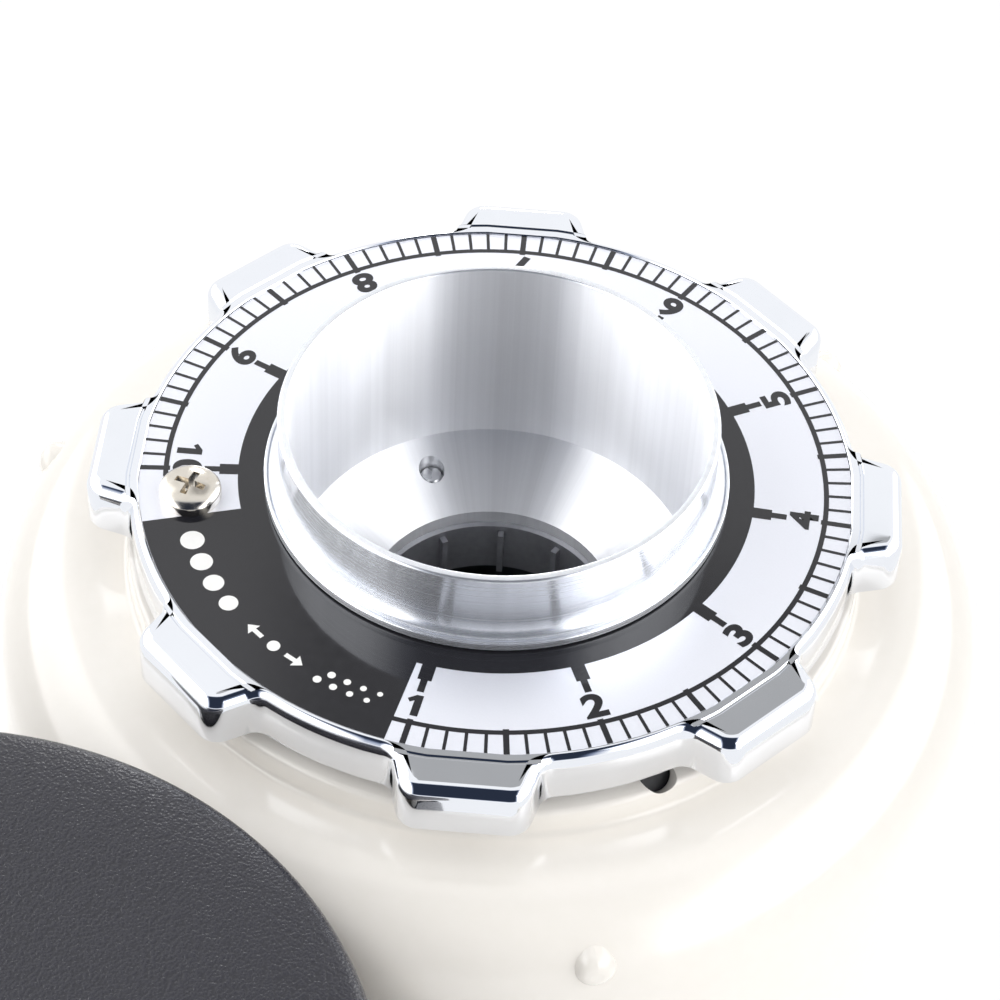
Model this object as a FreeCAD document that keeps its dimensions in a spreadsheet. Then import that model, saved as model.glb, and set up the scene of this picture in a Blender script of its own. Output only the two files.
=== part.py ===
# Doser coffee grinder with flat burrs, its bean hopper lifted off the throat.
# Lengths are millimetres and angles are degrees. Z is up from the counter, the doser
# faces -Y, and the origin is the middle of the grinder's footprint on the counter.
import FreeCAD, Part
import math
import os
import re

import Sketcher

V = FreeCAD.Vector

# Driving sizes. A size named _down is measured downward from the face of the dial,
# one named _z upward from the counter, and one named _angle about the vertical axis.
SIZES = {
    # The whole grinder and its clearances
    "dial_z": 372,
    "lid_gap": 0.6,
    "motor_room": 1.4,
    "fit_gap": 0.1,
    "run_gap": 0.3,
    "overcut": 1,
    # Feet, base casting and bottom cover
    "foot_height": 10,
    "foot_r": 13,
    "foot_recess_r": 6.5,
    "foot_recess": 5,
    "foot_front_x": 72,
    "foot_front_y": 150,
    "foot_rear_x": 44,
    "foot_rear_y": 72,
    "base_half": 99,
    "base_front": 190,
    "base_rear": 99,
    "base_front_round": 45,
    "base_rear_flat": 2,
    "base_edge_round": 8,
    "base_wall": 6,
    "deck_z": 46,
    "deck_wall": 6,
    "base_boss_r": 9,
    "cover_wall": 2,
    "slot_count": 9,
    "slot_pitch": 10,
    "slot_length": 60,
    "slot_width": 4,
    "base_screw_r": 2.5,
    "base_screw_head_r": 5,
    "base_screw_head": 3.5,
    "base_screw_reach": 14,
    # Cord gland in the rear wall of the base
    "gland_z": 27,
    "gland_flange_r": 9,
    "gland_flange": 3,
    "gland_r": 6.5,
    "gland_nut_r": 9.5,
    "gland_nut": 5,
    "gland_seat": 0.5,
    "cord_r": 3.6,
    # Painted body casing
    "casing_wall": 6,
    "foot_flare": 12.7,
    "waist_flare": 6.3,
    "casing_waist_down": 90,
    "casing_bow_r": 3000,
    "casing_top_r": 73,
    "casing_top_down": 15.1,
    "shoulder_round": 15,
    "casing_inner_round": 4,
    "flat_round": 5,
    "boss_r": 54.2,
    "boss_down": 10.6,
    "boss_root_round": 1,
    "boss_edge_round": 0.8,
    "lug_r": 8,
    "lug_inset": 12,
    "lug_angle": 45,
    "lug_height": 18,
    "casing_screw_r": 2.5,
    "casing_screw_head_r": 5,
    "casing_screw_head": 3.5,
    # Plugs over the radial screws, and the lock screw of the ring
    "plug_down": 23,
    "plug_angle": 317,
    "plug_count": 3,
    "plug_r": 3,
    "plug_sink": 4,
    "plug_stand": 0.6,
    "plug_round": 2,
    "plug_stem_r": 2,
    "plug_stem": 2,
    "chamber_screw_r": 2,
    "chamber_screw_grip": 9.5,
    "lock_angle": 331.5,
    "lock_ring_r": 51.6,
    "lock_tilt": 45,
    "lock_screw_r": 2.5,
    "lock_recess": 1.2,
    "lock_length": 3.6,
    # Burr chamber
    "neck_step": 2,
    "ledge_width": 7,
    "flange_room": 0.5,
    "chamber_flange": 12,
    "chamber_chamfer": 5,
    "shell_step": 1.5,
    "burr_room": 7,
    "ledge_down": 40,
    "floor_down": 70,
    "floor_wall": 14,
    "skirt_wall": 9,
    "coil_gap": 1,
    "hub_r": 26,
    "hub_length": 16,
    # Outlet of the chamber and the chute to the doser
    "outlet_half": 12,
    "outlet_top_down": 51,
    "outlet_bottom_down": 66,
    "chute_wall": 2,
    # Adjusting ring, dial and throat
    "ring_r": 53.5,
    "ring_depth": 8.3,
    "rim_inner_r": 52.1,
    "rim_height": 0.3,
    "rim_round": 1.3,
    "ring_bore_r": 32.4,
    "ring_web": 8,
    "skirt_gap": 0.3,
    "ring_skirt_down": 25.7,
    "lobe_count": 8,
    "lobe_angle": 31.3,
    "lobe_r": 60,
    "lobe_tip_half": 8.3,
    "lobe_root_half": 11.4,
    "lobe_corner_round": 2.5,
    "lobe_root_round": 2,
    "dial_thickness": 1.2,
    "dial_screw_ring_r": 44.6,
    "dial_screw_angle": 222.2,
    "dial_screw_r": 2,
    "dial_screw_reach": 6,
    "dial_screw_head_r": 4.5,
    "dial_screw_head": 2.6,
    "dial_screw_round": 1.6,
    "throat_r": 31.85,
    "throat_bore_r": 30.5,
    "throat_height": 12.5,
    "throat_round": 0.5,
    "throat_flange_r": 33.9,
    "throat_flange": 1.4,
    "throat_cove": 1.8,
    "throat_down": 21.7,
    # Upper burr carrier, its dowels and springs
    "cone_down": 28,
    "cone_step": 0.2,
    "carrier_boss_wall": 5.5,
    "carrier_boss_down": 11.5,
    "carrier_gap": 0.4,
    "carrier_flange": 10,
    "dowel_inset": 3.5,
    "dowel_angle": 30,
    "dowel_count": 3,
    "dowel_r": 2,
    "dowel_sink": 8,
    "dowel_rise": 11,
    "spring_angle": 90,
    "spring_count": 3,
    "spring_r": 2.9,
    "spring_wire": 0.9,
    "spring_sink": 9,
    # Flat burrs and their screws
    "burr_r": 32,
    "burr_width": 13.5,
    "burr_height": 8,
    "burr_face": 8,
    "burr_throat": 5,
    "burr_gap": 0.3,
    "tooth_count": 24,
    "tooth_width": 3,
    "tooth_depth": 1,
    "tooth_slant": 7,
    "breaker_count": 8,
    "breaker_width": 4,
    "breaker_depth": 4.5,
    "burr_screw_inset": 6.3,
    "burr_screw_angle": 147,
    "burr_screw_count": 3,
    "burr_screw_r": 1.9,
    "burr_screw_head_r": 3.4,
    "burr_screw_head": 2.6,
    "burr_screw_sink": 2,
    "burr_screw_reach": 6,
    # Turning carrier, feed cone and shaft
    "turntable_rim": 2,
    "turntable": 6,
    "turntable_hub_r": 12,
    "turntable_pilot": 3,
    "sweeper_count": 3,
    "sweeper_gap": 0.5,
    "sweeper_width": 4,
    "sweeper_drop": 7,
    "feed_gap": 3.5,
    "feed_cone_tip_r": 9,
    "feed_cone": 14,
    "feed_rib_count": 3,
    "feed_rib_width": 3,
    "shaft_r": 7.5,
    "shaft_thread_r": 6,
    "shaft_gap": 0.05,
    "seal_r": 12,
    "seal": 7,
    # Motor
    "bearing_r": 17.5,
    "bearing": 11,
    "bearing_race": 3,
    "bearing_groove": 0.6,
    "stator_length": 80,
    "rotor_r": 34,
    "air_gap": 0.5,
    "coil_inner_r": 37,
    "coil_r": 50,
    "coil_rise": 18,
    "coil_round": 6,
    "bell_wall": 8,
    "bell_round": 6,
    "bell_hub_r": 22,
    "bolt_inset": 4.5,
    "motor_bolt_angle": 45,
    "motor_bolt_count": 4,
    "motor_bolt_r": 2.5,
    "motor_bolt_head_r": 4.2,
    "motor_bolt_head": 4,
    "motor_bolt_reach": 10,
    # Wiring pieces on the deck inside the casing
    "capacitor_x": 42,
    "capacitor_y": 26,
    "capacitor_r": 17.5,
    "capacitor_room": 32,
    "capacitor_round": 2,
    "clamp_wall": 1.5,
    "clamp_height": 12,
    "clamp_tab": 10,
    "terminal_x": 40,
    "terminal_y": 18,
    "terminal_width": 40,
    "terminal_depth": 18,
    "terminal_height": 20,
    "terminal_step": 8,
    # Rocker switch on the right side
    "switch_z": 105,
    "switch_half_width": 11,
    "switch_half_height": 15,
    "switch_lip": 2.5,
    "switch_face_x": 89.5,
    "switch_lip_depth": 2.5,
    "switch_depth": 18,
    "switch_wall": 2,
    "rocker_r": 11.5,
    "rocker_pivot": 3,
    "rocker_tilt": 8,
    "rocker_pin_r": 1.5,
    # Doser
    "lid_r": 63,
    "lid_down": 6,
    "lid_round": 6,
    "lid_skirt": 16,
    "lid_wall": 4,
    "window_r": 59,
    "window_wall": 2.8,
    "window_down": 16,
    "cup_r": 60,
    "cup_wall": 4,
    "cup_down": 44,
    "cup_height": 76,
    "cup_floor": 6,
    "cup_flange_half": 34,
    "cup_flange_top": 6,
    "cup_flange_bottom": 66,
    "cup_outlet_half": 17,
    "cup_outlet_near": 23,
    "cup_outlet_far": 51,
    "cup_outlet_round": 6,
    "star_r": 54.5,
    "star_count": 6,
    "star_height": 30,
    "star_vane": 2,
    "star_hub_r": 9,
    "doser_shaft_r": 4,
    "doser_shaft_rise": 16,
    "doser_shaft_head_r": 7,
    "doser_shaft_head": 4,
    "dose_nut_r": 12,
    "dose_nut": 9,
    "dose_nut_lobes": 6,
    "dose_nut_notch_r": 4,
    "doser_screw_x": 27,
    "doser_screw_high": 14,
    "doser_screw_low": 56,
    "doser_screw_r": 2,
    "doser_screw_head_r": 4,
    "doser_screw_head": 3,
    "doser_screw_reach": 6,
    # Dosing lever and spout
    "lever_angle": 40,
    "lever_hub_r": 14,
    "lever_hub": 8,
    "lever_boss_r": 8,
    "lever_boss": 8,
    "lever_half": 5,
    "lever_tip_half": 3.5,
    "lever_plate": 6,
    "knob_r": 7.5,
    "knob_gap": 1.5,
    "knob_socket": 8,
    "knob_length": 30,
    "knob_neck_r": 5.5,
    "knob_round": 5,
    "lever_spring_wire": 2.4,
    "spout_top_half": 21,
    "spout_near": 20,
    "spout_far": 55,
    "spout_round": 7,
    "spout_tip_half": 15,
    "spout_tip_near": 28,
    "spout_tip_far": 52,
    "spout_drop": 40,
    "spout_wall": 2.5,
    "spout_ear_half": 29,
    "spout_ear_near": 31,
    "spout_ear_far": 45,
    "spout_ear": 4,
    "spout_screw_x": 25,
    "spout_screw_r": 1.5,
    "spout_screw_head_r": 3,
    "spout_screw_head": 2.2,
    "spout_screw_reach": 4.5,
    # Portafilter fork and grounds tray
    "fork_down": 196,
    "fork_plate": 7,
    "fork_half": 41,
    "fork_gap_half": 30,
    "fork_length": 90,
    "fork_bridge": 16,
    "fork_tip_round": 5,
    "fork_back": 4,
    "fork_back_half": 27,
    "fork_back_drop": 34,
    "fork_screw_x": 15,
    "fork_screw_drop": 22,
    "fork_screw_r": 2.5,
    "fork_screw_head_r": 4.75,
    "fork_screw_head": 3,
    "tray_half": 72,
    "tray_gap": 6.6,
    "tray_far": 182,
    "tray_height": 15,
    "tray_wall": 2,
    "tray_rear_round": 10,
    "tray_front_round": 34,
}

# Sizes that follow from the driving ones
DERIVED = {
    "axis_y": "(doser_reach + lid_r - base_rear) / 2",
    "doser_y": "axis_y - doser_reach",
    "deck_under_z": "deck_z - deck_wall",
    "cover_top_z": "foot_height + cover_wall",
    "casing_top_z": "dial_z - casing_top_down",
    "casing_waist_z": "dial_z - casing_waist_down",
    "boss_top_z": "dial_z - boss_down",
    "flange_down": "casing_top_down + casing_wall",
    "inner_flat": "front_flat - casing_wall",
    "bearing_top_down": "floor_down + floor_wall + hub_length - bearing - fit_gap",
    "stator_down": "floor_down + floor_wall + coil_rise + 2 * overcut",
    "stator_end_down": "stator_down + stator_length",
    "bell_floor_down": "stator_end_down + coil_rise + bearing",
    "bell_end_down": "bell_floor_down + bell_wall",
    "flange_top_down": "ring_skirt_down + run_gap",
    "burr_top_down": "ledge_down",
    "burr_face_down": "burr_top_down + burr_height",
    "lower_face_down": "burr_face_down + burr_gap",
    "lower_seat_down": "lower_face_down + burr_height",
    "cup_floor_down": "cup_down + cup_height - cup_floor",
    "cup_end_down": "cup_down + cup_height",
    "star_end_down": "cup_floor_down - run_gap",
    "star_top_down": "star_end_down - star_height",
    "lever_top_down": "cup_end_down + run_gap",
    "lever_boss_down": "lever_top_down + lever_hub",
    "lever_end_down": "lever_boss_down + lever_boss",
    "knob_start": "cup_r + knob_gap",
    "lever_reach": "knob_start + knob_socket",
    "chute_half": "outlet_half + chute_wall",
    "chute_top_down": "outlet_top_down - chute_wall",
    "chute_bottom_down": "outlet_bottom_down + chute_wall",
    "pivot_x": "switch_face_x - rocker_pivot",
    "base_rear_round": "base_half - base_rear_flat",
    "plug_seat_r": "casing_top_r - plug_sink",
    "plug_tip_r": "casing_top_r + plug_stand",
    "chamber_screw_tip_r": "chamber_flange_r - chamber_screw_grip",
    "chamber_flange_r": "casing_top_r - casing_wall - flange_room",
    "chamber_r": "burr_r + burr_room",
    "thread_r": "chamber_r + ledge_width",
    "neck_r": "thread_r + neck_step",
    "chamber_shell_r": "neck_r + shell_step",
    "dowel_ring_r": "chamber_r + dowel_inset",
    "carrier_flange_r": "thread_r - carrier_gap",
    "carrier_boss_r": "burr_r + carrier_boss_wall",
    "ring_skirt_inner_r": "carrier_boss_r + skirt_gap",
    "sweeper_r": "chamber_r - sweeper_gap",
    "turntable_r": "burr_r + turntable_rim",
    "burr_screw_ring_r": "burr_r - burr_screw_inset",
    "burr_throat_r": "burr_r - burr_face",
    "burr_bore_r": "burr_r - burr_width",
    "cone_r": "burr_bore_r + cone_step",
    "feed_cone_r": "burr_bore_r - feed_gap",
    "capacitor_height": "dial_z - bell_end_down - motor_bolt_head - deck_z - capacitor_room",
    "fork_z": "dial_z - fork_down",
    "casing_waist_r": "casing_top_r + waist_flare",
    "casing_foot_r": "casing_waist_r + foot_flare",
    "lug_ring_r": "casing_foot_r - lug_inset",
    "skirt_inner_r": "coil_r + coil_gap",
    "skirt_r": "skirt_inner_r + skirt_wall",
    "motor_bolt_ring_r": "skirt_inner_r + bolt_inset",
    "front_flat": "skirt_r + motor_room + casing_wall",
    "doser_reach": "front_flat + lid_r + lid_gap",
    "tray_near": "front_flat + tray_gap",
}

doc = FreeCAD.newDocument("doser_coffee_grinder")
sheet = doc.addObject("Spreadsheet::Sheet", "sheet")
for row, (alias, size) in enumerate(SIZES.items(), 1):
    sheet.set(f"A{row}", alias)
    sheet.set(f"B{row}", str(size))
    sheet.setAlias(f"B{row}", alias)
doc.recompute()

WORD = re.compile(r"\b[a-z][a-z_]+\b")


def link(text):
    """The expression that the words of a size text stand for, in cells of the sheet."""
    def cell(found):
        word = found.group(0)
        if word in SIZES:
            return "sheet." + word
        return f"({link(DERIVED[word])})" if word in DERIVED else word
    return WORD.sub(cell, text)


def num(text):
    """The value of a size text."""
    value = sheet.evalExpression(link(text))
    return float(getattr(value, "Value", value))


def polar(radius, angle):
    """Size texts of the point at a radius and an angle about the body's own axis."""
    return f"({radius}) * cos(({angle}) * 1 deg)", f"({radius}) * sin(({angle}) * 1 deg)"


def piece(label, y="axis_y", z="0", x="0", angle="0"):
    """A body whose own origin stands at a place in the grinder, turned about the vertical."""
    made = doc.addObject("PartDesign::Body", label)
    made.Label = label
    made.setExpression("Placement.Rotation.Angle", f"({link(angle)}) * 1 deg")
    for letter, place in zip("xyz", (x, y, z)):
        made.setExpression("Placement.Base." + letter, link(place))
    return made


def origin(owner, role):
    """An origin plane or axis of a body."""
    return next(part for part in owner.Origin.OriginFeatures if part.Role == role)


def drawing(owner, role, lift):
    """An empty sketch on one of the body's own origin planes, lifted along its normal."""
    made = owner.newObject("Sketcher::SketchObject", owner.Name + "_sketch")
    made.AttachmentSupport = [(origin(owner, role), "")]
    made.MapMode = "FlatFace"
    made.setExpression("AttachmentOffset.Base.z", link(lift))
    return made


def bind(made, rules, bound):
    """Add the rules of a sketch and tie the measured ones to the sheet."""
    made.addConstraint(rules)
    for index, text in bound:
        made.setExpression(f"Constraints[{index}]", link(text))
    return made


def outline(owner, corners, role="XY_Plane", lift="0"):
    """A closed outline. A corner is (x, y), or (x, y, radius) where an arc rounds it."""
    made = drawing(owner, role, lift)
    count = len(corners)
    spots = [V(num(corner[0]), num(corner[1]), 0) for corner in corners]
    rounds = [num(corner[2]) if len(corner) > 2 else 0 for corner in corners]
    back = [(spots[i - 1] - spots[i]).normalize() for i in range(count)]
    ahead = [(spots[(i + 1) % count] - spots[i]).normalize() for i in range(count)]
    half = [back[i].getAngle(ahead[i]) / 2 for i in range(count)]
    inset = [rounds[i] / math.tan(half[i]) for i in range(count)]
    for i in range(count):
        after = (i + 1) % count
        start = spots[i] + ahead[i] * inset[i]
        end = spots[after] + back[after] * inset[after]
        made.addGeometry(Part.LineSegment(start, end), False)
    rules = []
    bound = []
    for i, corner in enumerate(corners):
        before = (i - 1) % count
        if rounds[i]:
            leftward = back[i].cross(ahead[i]).z < 0
            middle = spots[i] + (back[i] + ahead[i]).normalize() * (rounds[i] / math.sin(half[i]))
            ends = [spots[i] + back[i] * inset[i], spots[i] + ahead[i] * inset[i]]
            first, last = ends if leftward else reversed(ends)
            opening = math.atan2(first.y - middle.y, first.x - middle.x)
            sweep = math.pi - 2 * half[i]
            circle = Part.Circle(middle, V(0, 0, 1), rounds[i])
            arc = made.addGeometry(Part.ArcOfCircle(circle, opening, opening + sweep), False)
            where = made.addGeometry(Part.Point(spots[i]), True)
            rules.append(Sketcher.Constraint("Tangent", before, 2, arc, 1 if leftward else 2))
            rules.append(Sketcher.Constraint("Tangent", arc, 2 if leftward else 1, i, 1))
            rules.append(Sketcher.Constraint("PointOnObject", where, 1, before))
            rules.append(Sketcher.Constraint("PointOnObject", where, 1, i))
            bound.append((len(rules), corner[2]))
            rules.append(Sketcher.Constraint("Radius", arc, rounds[i]))
        else:
            where = i
            rules.append(Sketcher.Constraint("Coincident", before, 2, i, 1))
        bound.append((len(rules), corner[0]))
        rules.append(Sketcher.Constraint("DistanceX", where, 1, spots[i].x))
        bound.append((len(rules), corner[1]))
        rules.append(Sketcher.Constraint("DistanceY", where, 1, spots[i].y))
    return bind(made, rules, bound)


def box_outline(owner, x, y, role="XY_Plane", lift="0", radius=None):
    """A rectangle between two sizes across and two sizes along, with all corners alike."""
    corners = [(x[0], y[0]), (x[1], y[0]), (x[1], y[1]), (x[0], y[1])]
    if radius:
        corners = [corner + (radius,) for corner in corners]
    return outline(owner, corners, role, lift)


def circles(owner, spots, radius, role="XY_Plane", lift="0"):
    """Equal circles in one sketch, at (x, y) spots."""
    made = drawing(owner, role, lift)
    rules = []
    bound = []
    for x, y in spots:
        ring = made.addGeometry(Part.Circle(V(num(x), num(y), 0), V(0, 0, 1), num(radius)), False)
        bound.append((len(rules), x))
        rules.append(Sketcher.Constraint("DistanceX", ring, 3, num(x)))
        bound.append((len(rules), y))
        rules.append(Sketcher.Constraint("DistanceY", ring, 3, num(y)))
        bound.append((len(rules), radius))
        rules.append(Sketcher.Constraint("Radius", ring, num(radius)))
    return bind(made, rules, bound)


def feature(owner, kind, profile, **values):
    """A feature of a body from a sketch, with its lengths tied to the sheet."""
    made = owner.newObject("PartDesign::" + kind, f"{owner.Name}_{kind.lower()}")
    made.Profile = profile
    for name, text in values.items():
        made.setExpression(name, link(text))
    return made


def pad(owner, profile, length, back=False):
    """Material grown from a sketch along its normal, or backward."""
    made = feature(owner, "Pad", profile, Length=length)
    made.Reversed = back
    return made


def pocket(owner, profile, length, ahead=False):
    """Material cut from a sketch against its normal, or ahead along it."""
    made = feature(owner, "Pocket", profile, Length=length)
    made.Reversed = ahead
    return made


def turn(owner, corners, axis="V_Axis"):
    """A turned solid from an outline of (radius, height) corners."""
    profile = outline(owner, corners, "XZ_Plane")
    made = feature(owner, "Revolution", profile)
    made.ReferenceAxis = (profile, [axis])
    made.Angle = 360
    return made


def around(owner, features, count):
    """Copies of a body's features, evenly spaced about its own axis."""
    made = owner.newObject("PartDesign::PolarPattern", owner.Name + "_around")
    made.Originals = features
    made.Axis = (origin(owner, "Z_Axis"), [""])
    made.Angle = 360
    made.setExpression("Occurrences", link(count))
    owner.Tip = made
    return made


def edges(base, wanted):
    """Names of the edges of a feature that a test picks."""
    doc.recompute()
    return [f"Edge{i}" for i, edge in enumerate(base.Shape.Edges, 1) if wanted(edge)]


def fillet(owner, base, names, radius):
    """Rounds on named edges of a body's last feature."""
    made = owner.newObject("PartDesign::Fillet", owner.Name + "_fillet")
    made.Base = (base, names)
    made.setExpression("Radius", link(radius))
    return made


def cut(label, base, tools):
    """A piece less other solids."""
    joined = tools[0]
    if len(tools) > 1:
        joined = doc.addObject("Part::MultiFuse", label + "_tools")
        joined.Shapes = tools
    made = doc.addObject("Part::Cut", label)
    made.Base = base
    made.Tool = joined
    made.Label = label
    return made


def join(label, solids):
    """Solids fused to one."""
    made = doc.addObject("Part::MultiFuse", label)
    made.Shapes = solids
    made.Label = label
    return made


def upright(edge):
    """Whether an edge is a vertical line."""
    box = edge.BoundBox
    return box.ZLength > 1 and box.XLength + box.YLength < 0.01


nodes = []
CENTRE = [("0", "0")]

# Rubber feet: four pads under the base, each recessed for the head of its screw
FEET = [("-foot_front_x", "-foot_front_y"), ("foot_front_x", "-foot_front_y"),
        ("foot_rear_x", "foot_rear_y"), ("-foot_rear_x", "foot_rear_y")]
feet = piece("rubber_feet")
pad(feet, circles(feet, FEET, "foot_r"), "foot_height")
pocket(feet, circles(feet, FEET, "foot_recess_r"), "foot_recess", ahead=True)
pocket(feet, circles(feet, FEET, "base_screw_r + fit_gap"), "foot_height", ahead=True)
nodes.append(feet)

# Base screws: up through the feet and the cover into the bosses of the base
base_screws = piece("base_screws")
pad(base_screws, circles(base_screws, FEET, "base_screw_head_r", lift="foot_recess"), "base_screw_head",
    back=True)
pad(base_screws, circles(base_screws, FEET, "base_screw_r", lift="foot_recess"),
    "cover_top_z + base_screw_reach - foot_recess")
nodes.append(base_screws)


def base_plan(inset):
    """Corners of the base's plan, round behind and round at the front, set in by a wall."""
    side, front, rear = f"base_half - ({inset})", f"-(base_front - ({inset}))", f"base_rear - ({inset})"
    front_round, rear_round = f"base_front_round - ({inset})", f"base_rear_round - ({inset})"
    return [(f"-({side})", front, front_round), (side, front, front_round),
            (side, rear, rear_round), (f"-({side})", rear, rear_round)]


# Base casting: a hollow plinth with a deck, bosses for the feet and a hole for the cord gland
LUGS = [polar("lug_ring_r", f"lug_angle + {quarter}") for quarter in (0, 90, 180, 270)]
base = piece("base_casting")
plinth = pad(base, outline(base, base_plan("0"), lift="foot_height"), "deck_z - foot_height")
deck_edge = edges(plinth, lambda edge: edge.BoundBox.ZMin > num("deck_z") - 0.01)
fillet(base, plinth, deck_edge, "base_edge_round")
pocket(base, outline(base, base_plan("base_wall"), lift="foot_height"), "deck_under_z - foot_height",
       ahead=True)
pad(base, circles(base, FEET, "base_boss_r", lift="cover_top_z"), "deck_under_z - cover_top_z")
pocket(base, circles(base, FEET, "base_screw_r + fit_gap", lift="cover_top_z"),
       "base_screw_reach + overcut", ahead=True)
pocket(base, circles(base, LUGS, "casing_screw_r + fit_gap", lift="deck_under_z"), "deck_wall", ahead=True)
GLAND = [("0", "gland_z")]
pocket(base, circles(base, GLAND, "gland_flange_r + fit_gap", "XZ_Plane", "-base_rear"), "gland_flange",
       ahead=True)
pocket(base, circles(base, GLAND, "gland_r + fit_gap", "XZ_Plane", "-base_rear"),
       "base_wall + gland_seat", ahead=True)
nodes.append(base)

# Base cover: the sheet that closes the base from below, with a row of air slots
cover = piece("base_cover")
pad(cover, outline(cover, base_plan("base_wall + fit_gap"), lift="foot_height"), "cover_wall")
pocket(cover, circles(cover, FEET, "base_screw_r + fit_gap", lift="foot_height"), "cover_wall", ahead=True)
slot_start = "-(slot_count - 1) / 2 * slot_pitch - slot_width / 2"
slot = pocket(cover, box_outline(cover, (slot_start, f"{slot_start} + slot_width"), ("-slot_length", "0"),
                                 lift="foot_height"), "cover_wall", ahead=True)
slots = cover.newObject("PartDesign::LinearPattern", "base_cover_slots")
slots.Originals = [slot]
slots.Direction = (origin(cover, "X_Axis"), [""])
slots.setExpression("Length", link("(slot_count - 1) * slot_pitch"))
slots.setExpression("Occurrences", link("slot_count"))
cover.Tip = slots
nodes.append(cover)

# Cord gland: flange outside, body through the wall and nut inside, bored for the cord
gland = piece("cord_gland")
pad(gland, circles(gland, GLAND, "gland_flange_r", "XZ_Plane", "-base_rear"), "gland_flange")
pad(gland, circles(gland, GLAND, "gland_r", "XZ_Plane", "-base_rear"), "base_wall + gland_nut")
pad(gland, circles(gland, GLAND, "gland_nut_r", "XZ_Plane", "-(base_rear - base_wall - gland_seat)"),
    "gland_nut - gland_seat")
pocket(gland, circles(gland, GLAND, "cord_r", "XZ_Plane", "-base_rear"), "base_wall + gland_nut",
       ahead=True)
nodes.append(gland)


def front_cut(owner, top, bottom, flat):
    """Cut a body of the tower flat at the front, between two heights."""
    face = box_outline(owner, ("-base_half", "base_half"), ("-base_front", f"-({flat})"), lift=top)
    return pocket(owner, face, f"({top}) - ({bottom})")


# Body casing: a painted casting, round and flaring downward, flat at the front for the doser
tower = piece("casing_outside")
turn(tower, [("0", "deck_z"), ("casing_foot_r", "deck_z"),
             ("casing_waist_r", "casing_waist_z", "casing_bow_r"),
             ("casing_top_r", "casing_top_z", "shoulder_round"),
             ("boss_r", "casing_top_z", "boss_root_round"),
             ("boss_r", "boss_top_z", "boss_edge_round"), ("0", "boss_top_z")])
face = front_cut(tower, "boss_top_z", "deck_z", "front_flat")


def on_flat(edge):
    """Whether an edge is an upright side of the tower's flat front."""
    box = edge.BoundBox
    return box.ZLength > 1 and box.YMax < 0.01 - num("front_flat")


fillet(tower, face, edges(face, on_flat), "flat_round")
hollow = piece("casing_inside")
turn(hollow, [("0", "deck_z"), ("casing_foot_r - casing_wall", "deck_z"),
              ("casing_waist_r - casing_wall", "casing_waist_z", "casing_bow_r"),
              ("casing_top_r - casing_wall", "casing_top_z - casing_wall", "casing_inner_round"),
              ("0", "casing_top_z - casing_wall")])
front_cut(hollow, "casing_top_z - casing_wall", "deck_z", "inner_flat")
lugs = piece("casing_lugs")
pad(lugs, circles(lugs, LUGS, "lug_r", lift="deck_z"), "lug_height")

# Holes of the casing: neck of the chamber, lug screws, chute, doser, fork and switch
DOSER_SCREWS = [(side + "doser_screw_x", f"dial_z - cup_down - {row}")
                for side in ("-", "") for row in ("doser_screw_high", "doser_screw_low")]
FORK_SCREWS = [(side + "fork_screw_x", "fork_z - fork_screw_drop") for side in ("-", "")]
holes = piece("casing_holes")
pad(holes, circles(holes, CENTRE, "neck_r + fit_gap", lift="casing_top_z - casing_wall - overcut"),
    "casing_top_down + casing_wall + 2 * overcut - boss_down")
pad(holes, circles(holes, LUGS, "casing_screw_r + fit_gap", lift="deck_z - overcut"), "lug_height")
wall_cut = "casing_wall + 2 * overcut"
wall_start = "inner_flat - overcut"
pad(holes, box_outline(holes, ("-(chute_half + run_gap)", "chute_half + run_gap"),
                       ("dial_z - chute_bottom_down - run_gap", "dial_z - chute_top_down + run_gap"),
                       "XZ_Plane", wall_start), wall_cut)
pad(holes, circles(holes, DOSER_SCREWS, "doser_screw_r + fit_gap", "XZ_Plane", wall_start), wall_cut)
pad(holes, circles(holes, FORK_SCREWS, "fork_screw_r + fit_gap", "XZ_Plane", wall_start), wall_cut)
pad(holes, box_outline(holes, ("-(switch_half_width + fit_gap)", "switch_half_width + fit_gap"),
                       ("switch_z - switch_half_height - fit_gap",
                        "switch_z + switch_half_height + fit_gap"),
                       "YZ_Plane", "switch_face_x - switch_depth"),
    "switch_depth + base_half - switch_face_x")
lip = "(switch_lip + fit_gap)"
pad(holes, box_outline(holes, (f"-(switch_half_width + {lip})", f"switch_half_width + {lip}"),
                       (f"switch_z - switch_half_height - {lip}", f"switch_z + switch_half_height + {lip}"),
                       "YZ_Plane", "switch_face_x - switch_lip_depth"),
    "base_half - switch_face_x + switch_lip_depth")

# Radial holes for the chamber screws, with a counterbore for each plug
plug_holes = piece("plug_holes", z="dial_z - plug_down", angle="plug_angle")
plug_bore = turn(plug_holes, [("chamber_screw_tip_r - overcut", "0"), ("casing_foot_r", "0"),
                              ("casing_foot_r", "plug_r + fit_gap"), ("plug_seat_r", "plug_r + fit_gap"),
                              ("plug_seat_r", "chamber_screw_r + fit_gap"),
                              ("chamber_screw_tip_r - overcut", "chamber_screw_r + fit_gap")], "Edge1")
around(plug_holes, [plug_bore], "plug_count")


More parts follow.
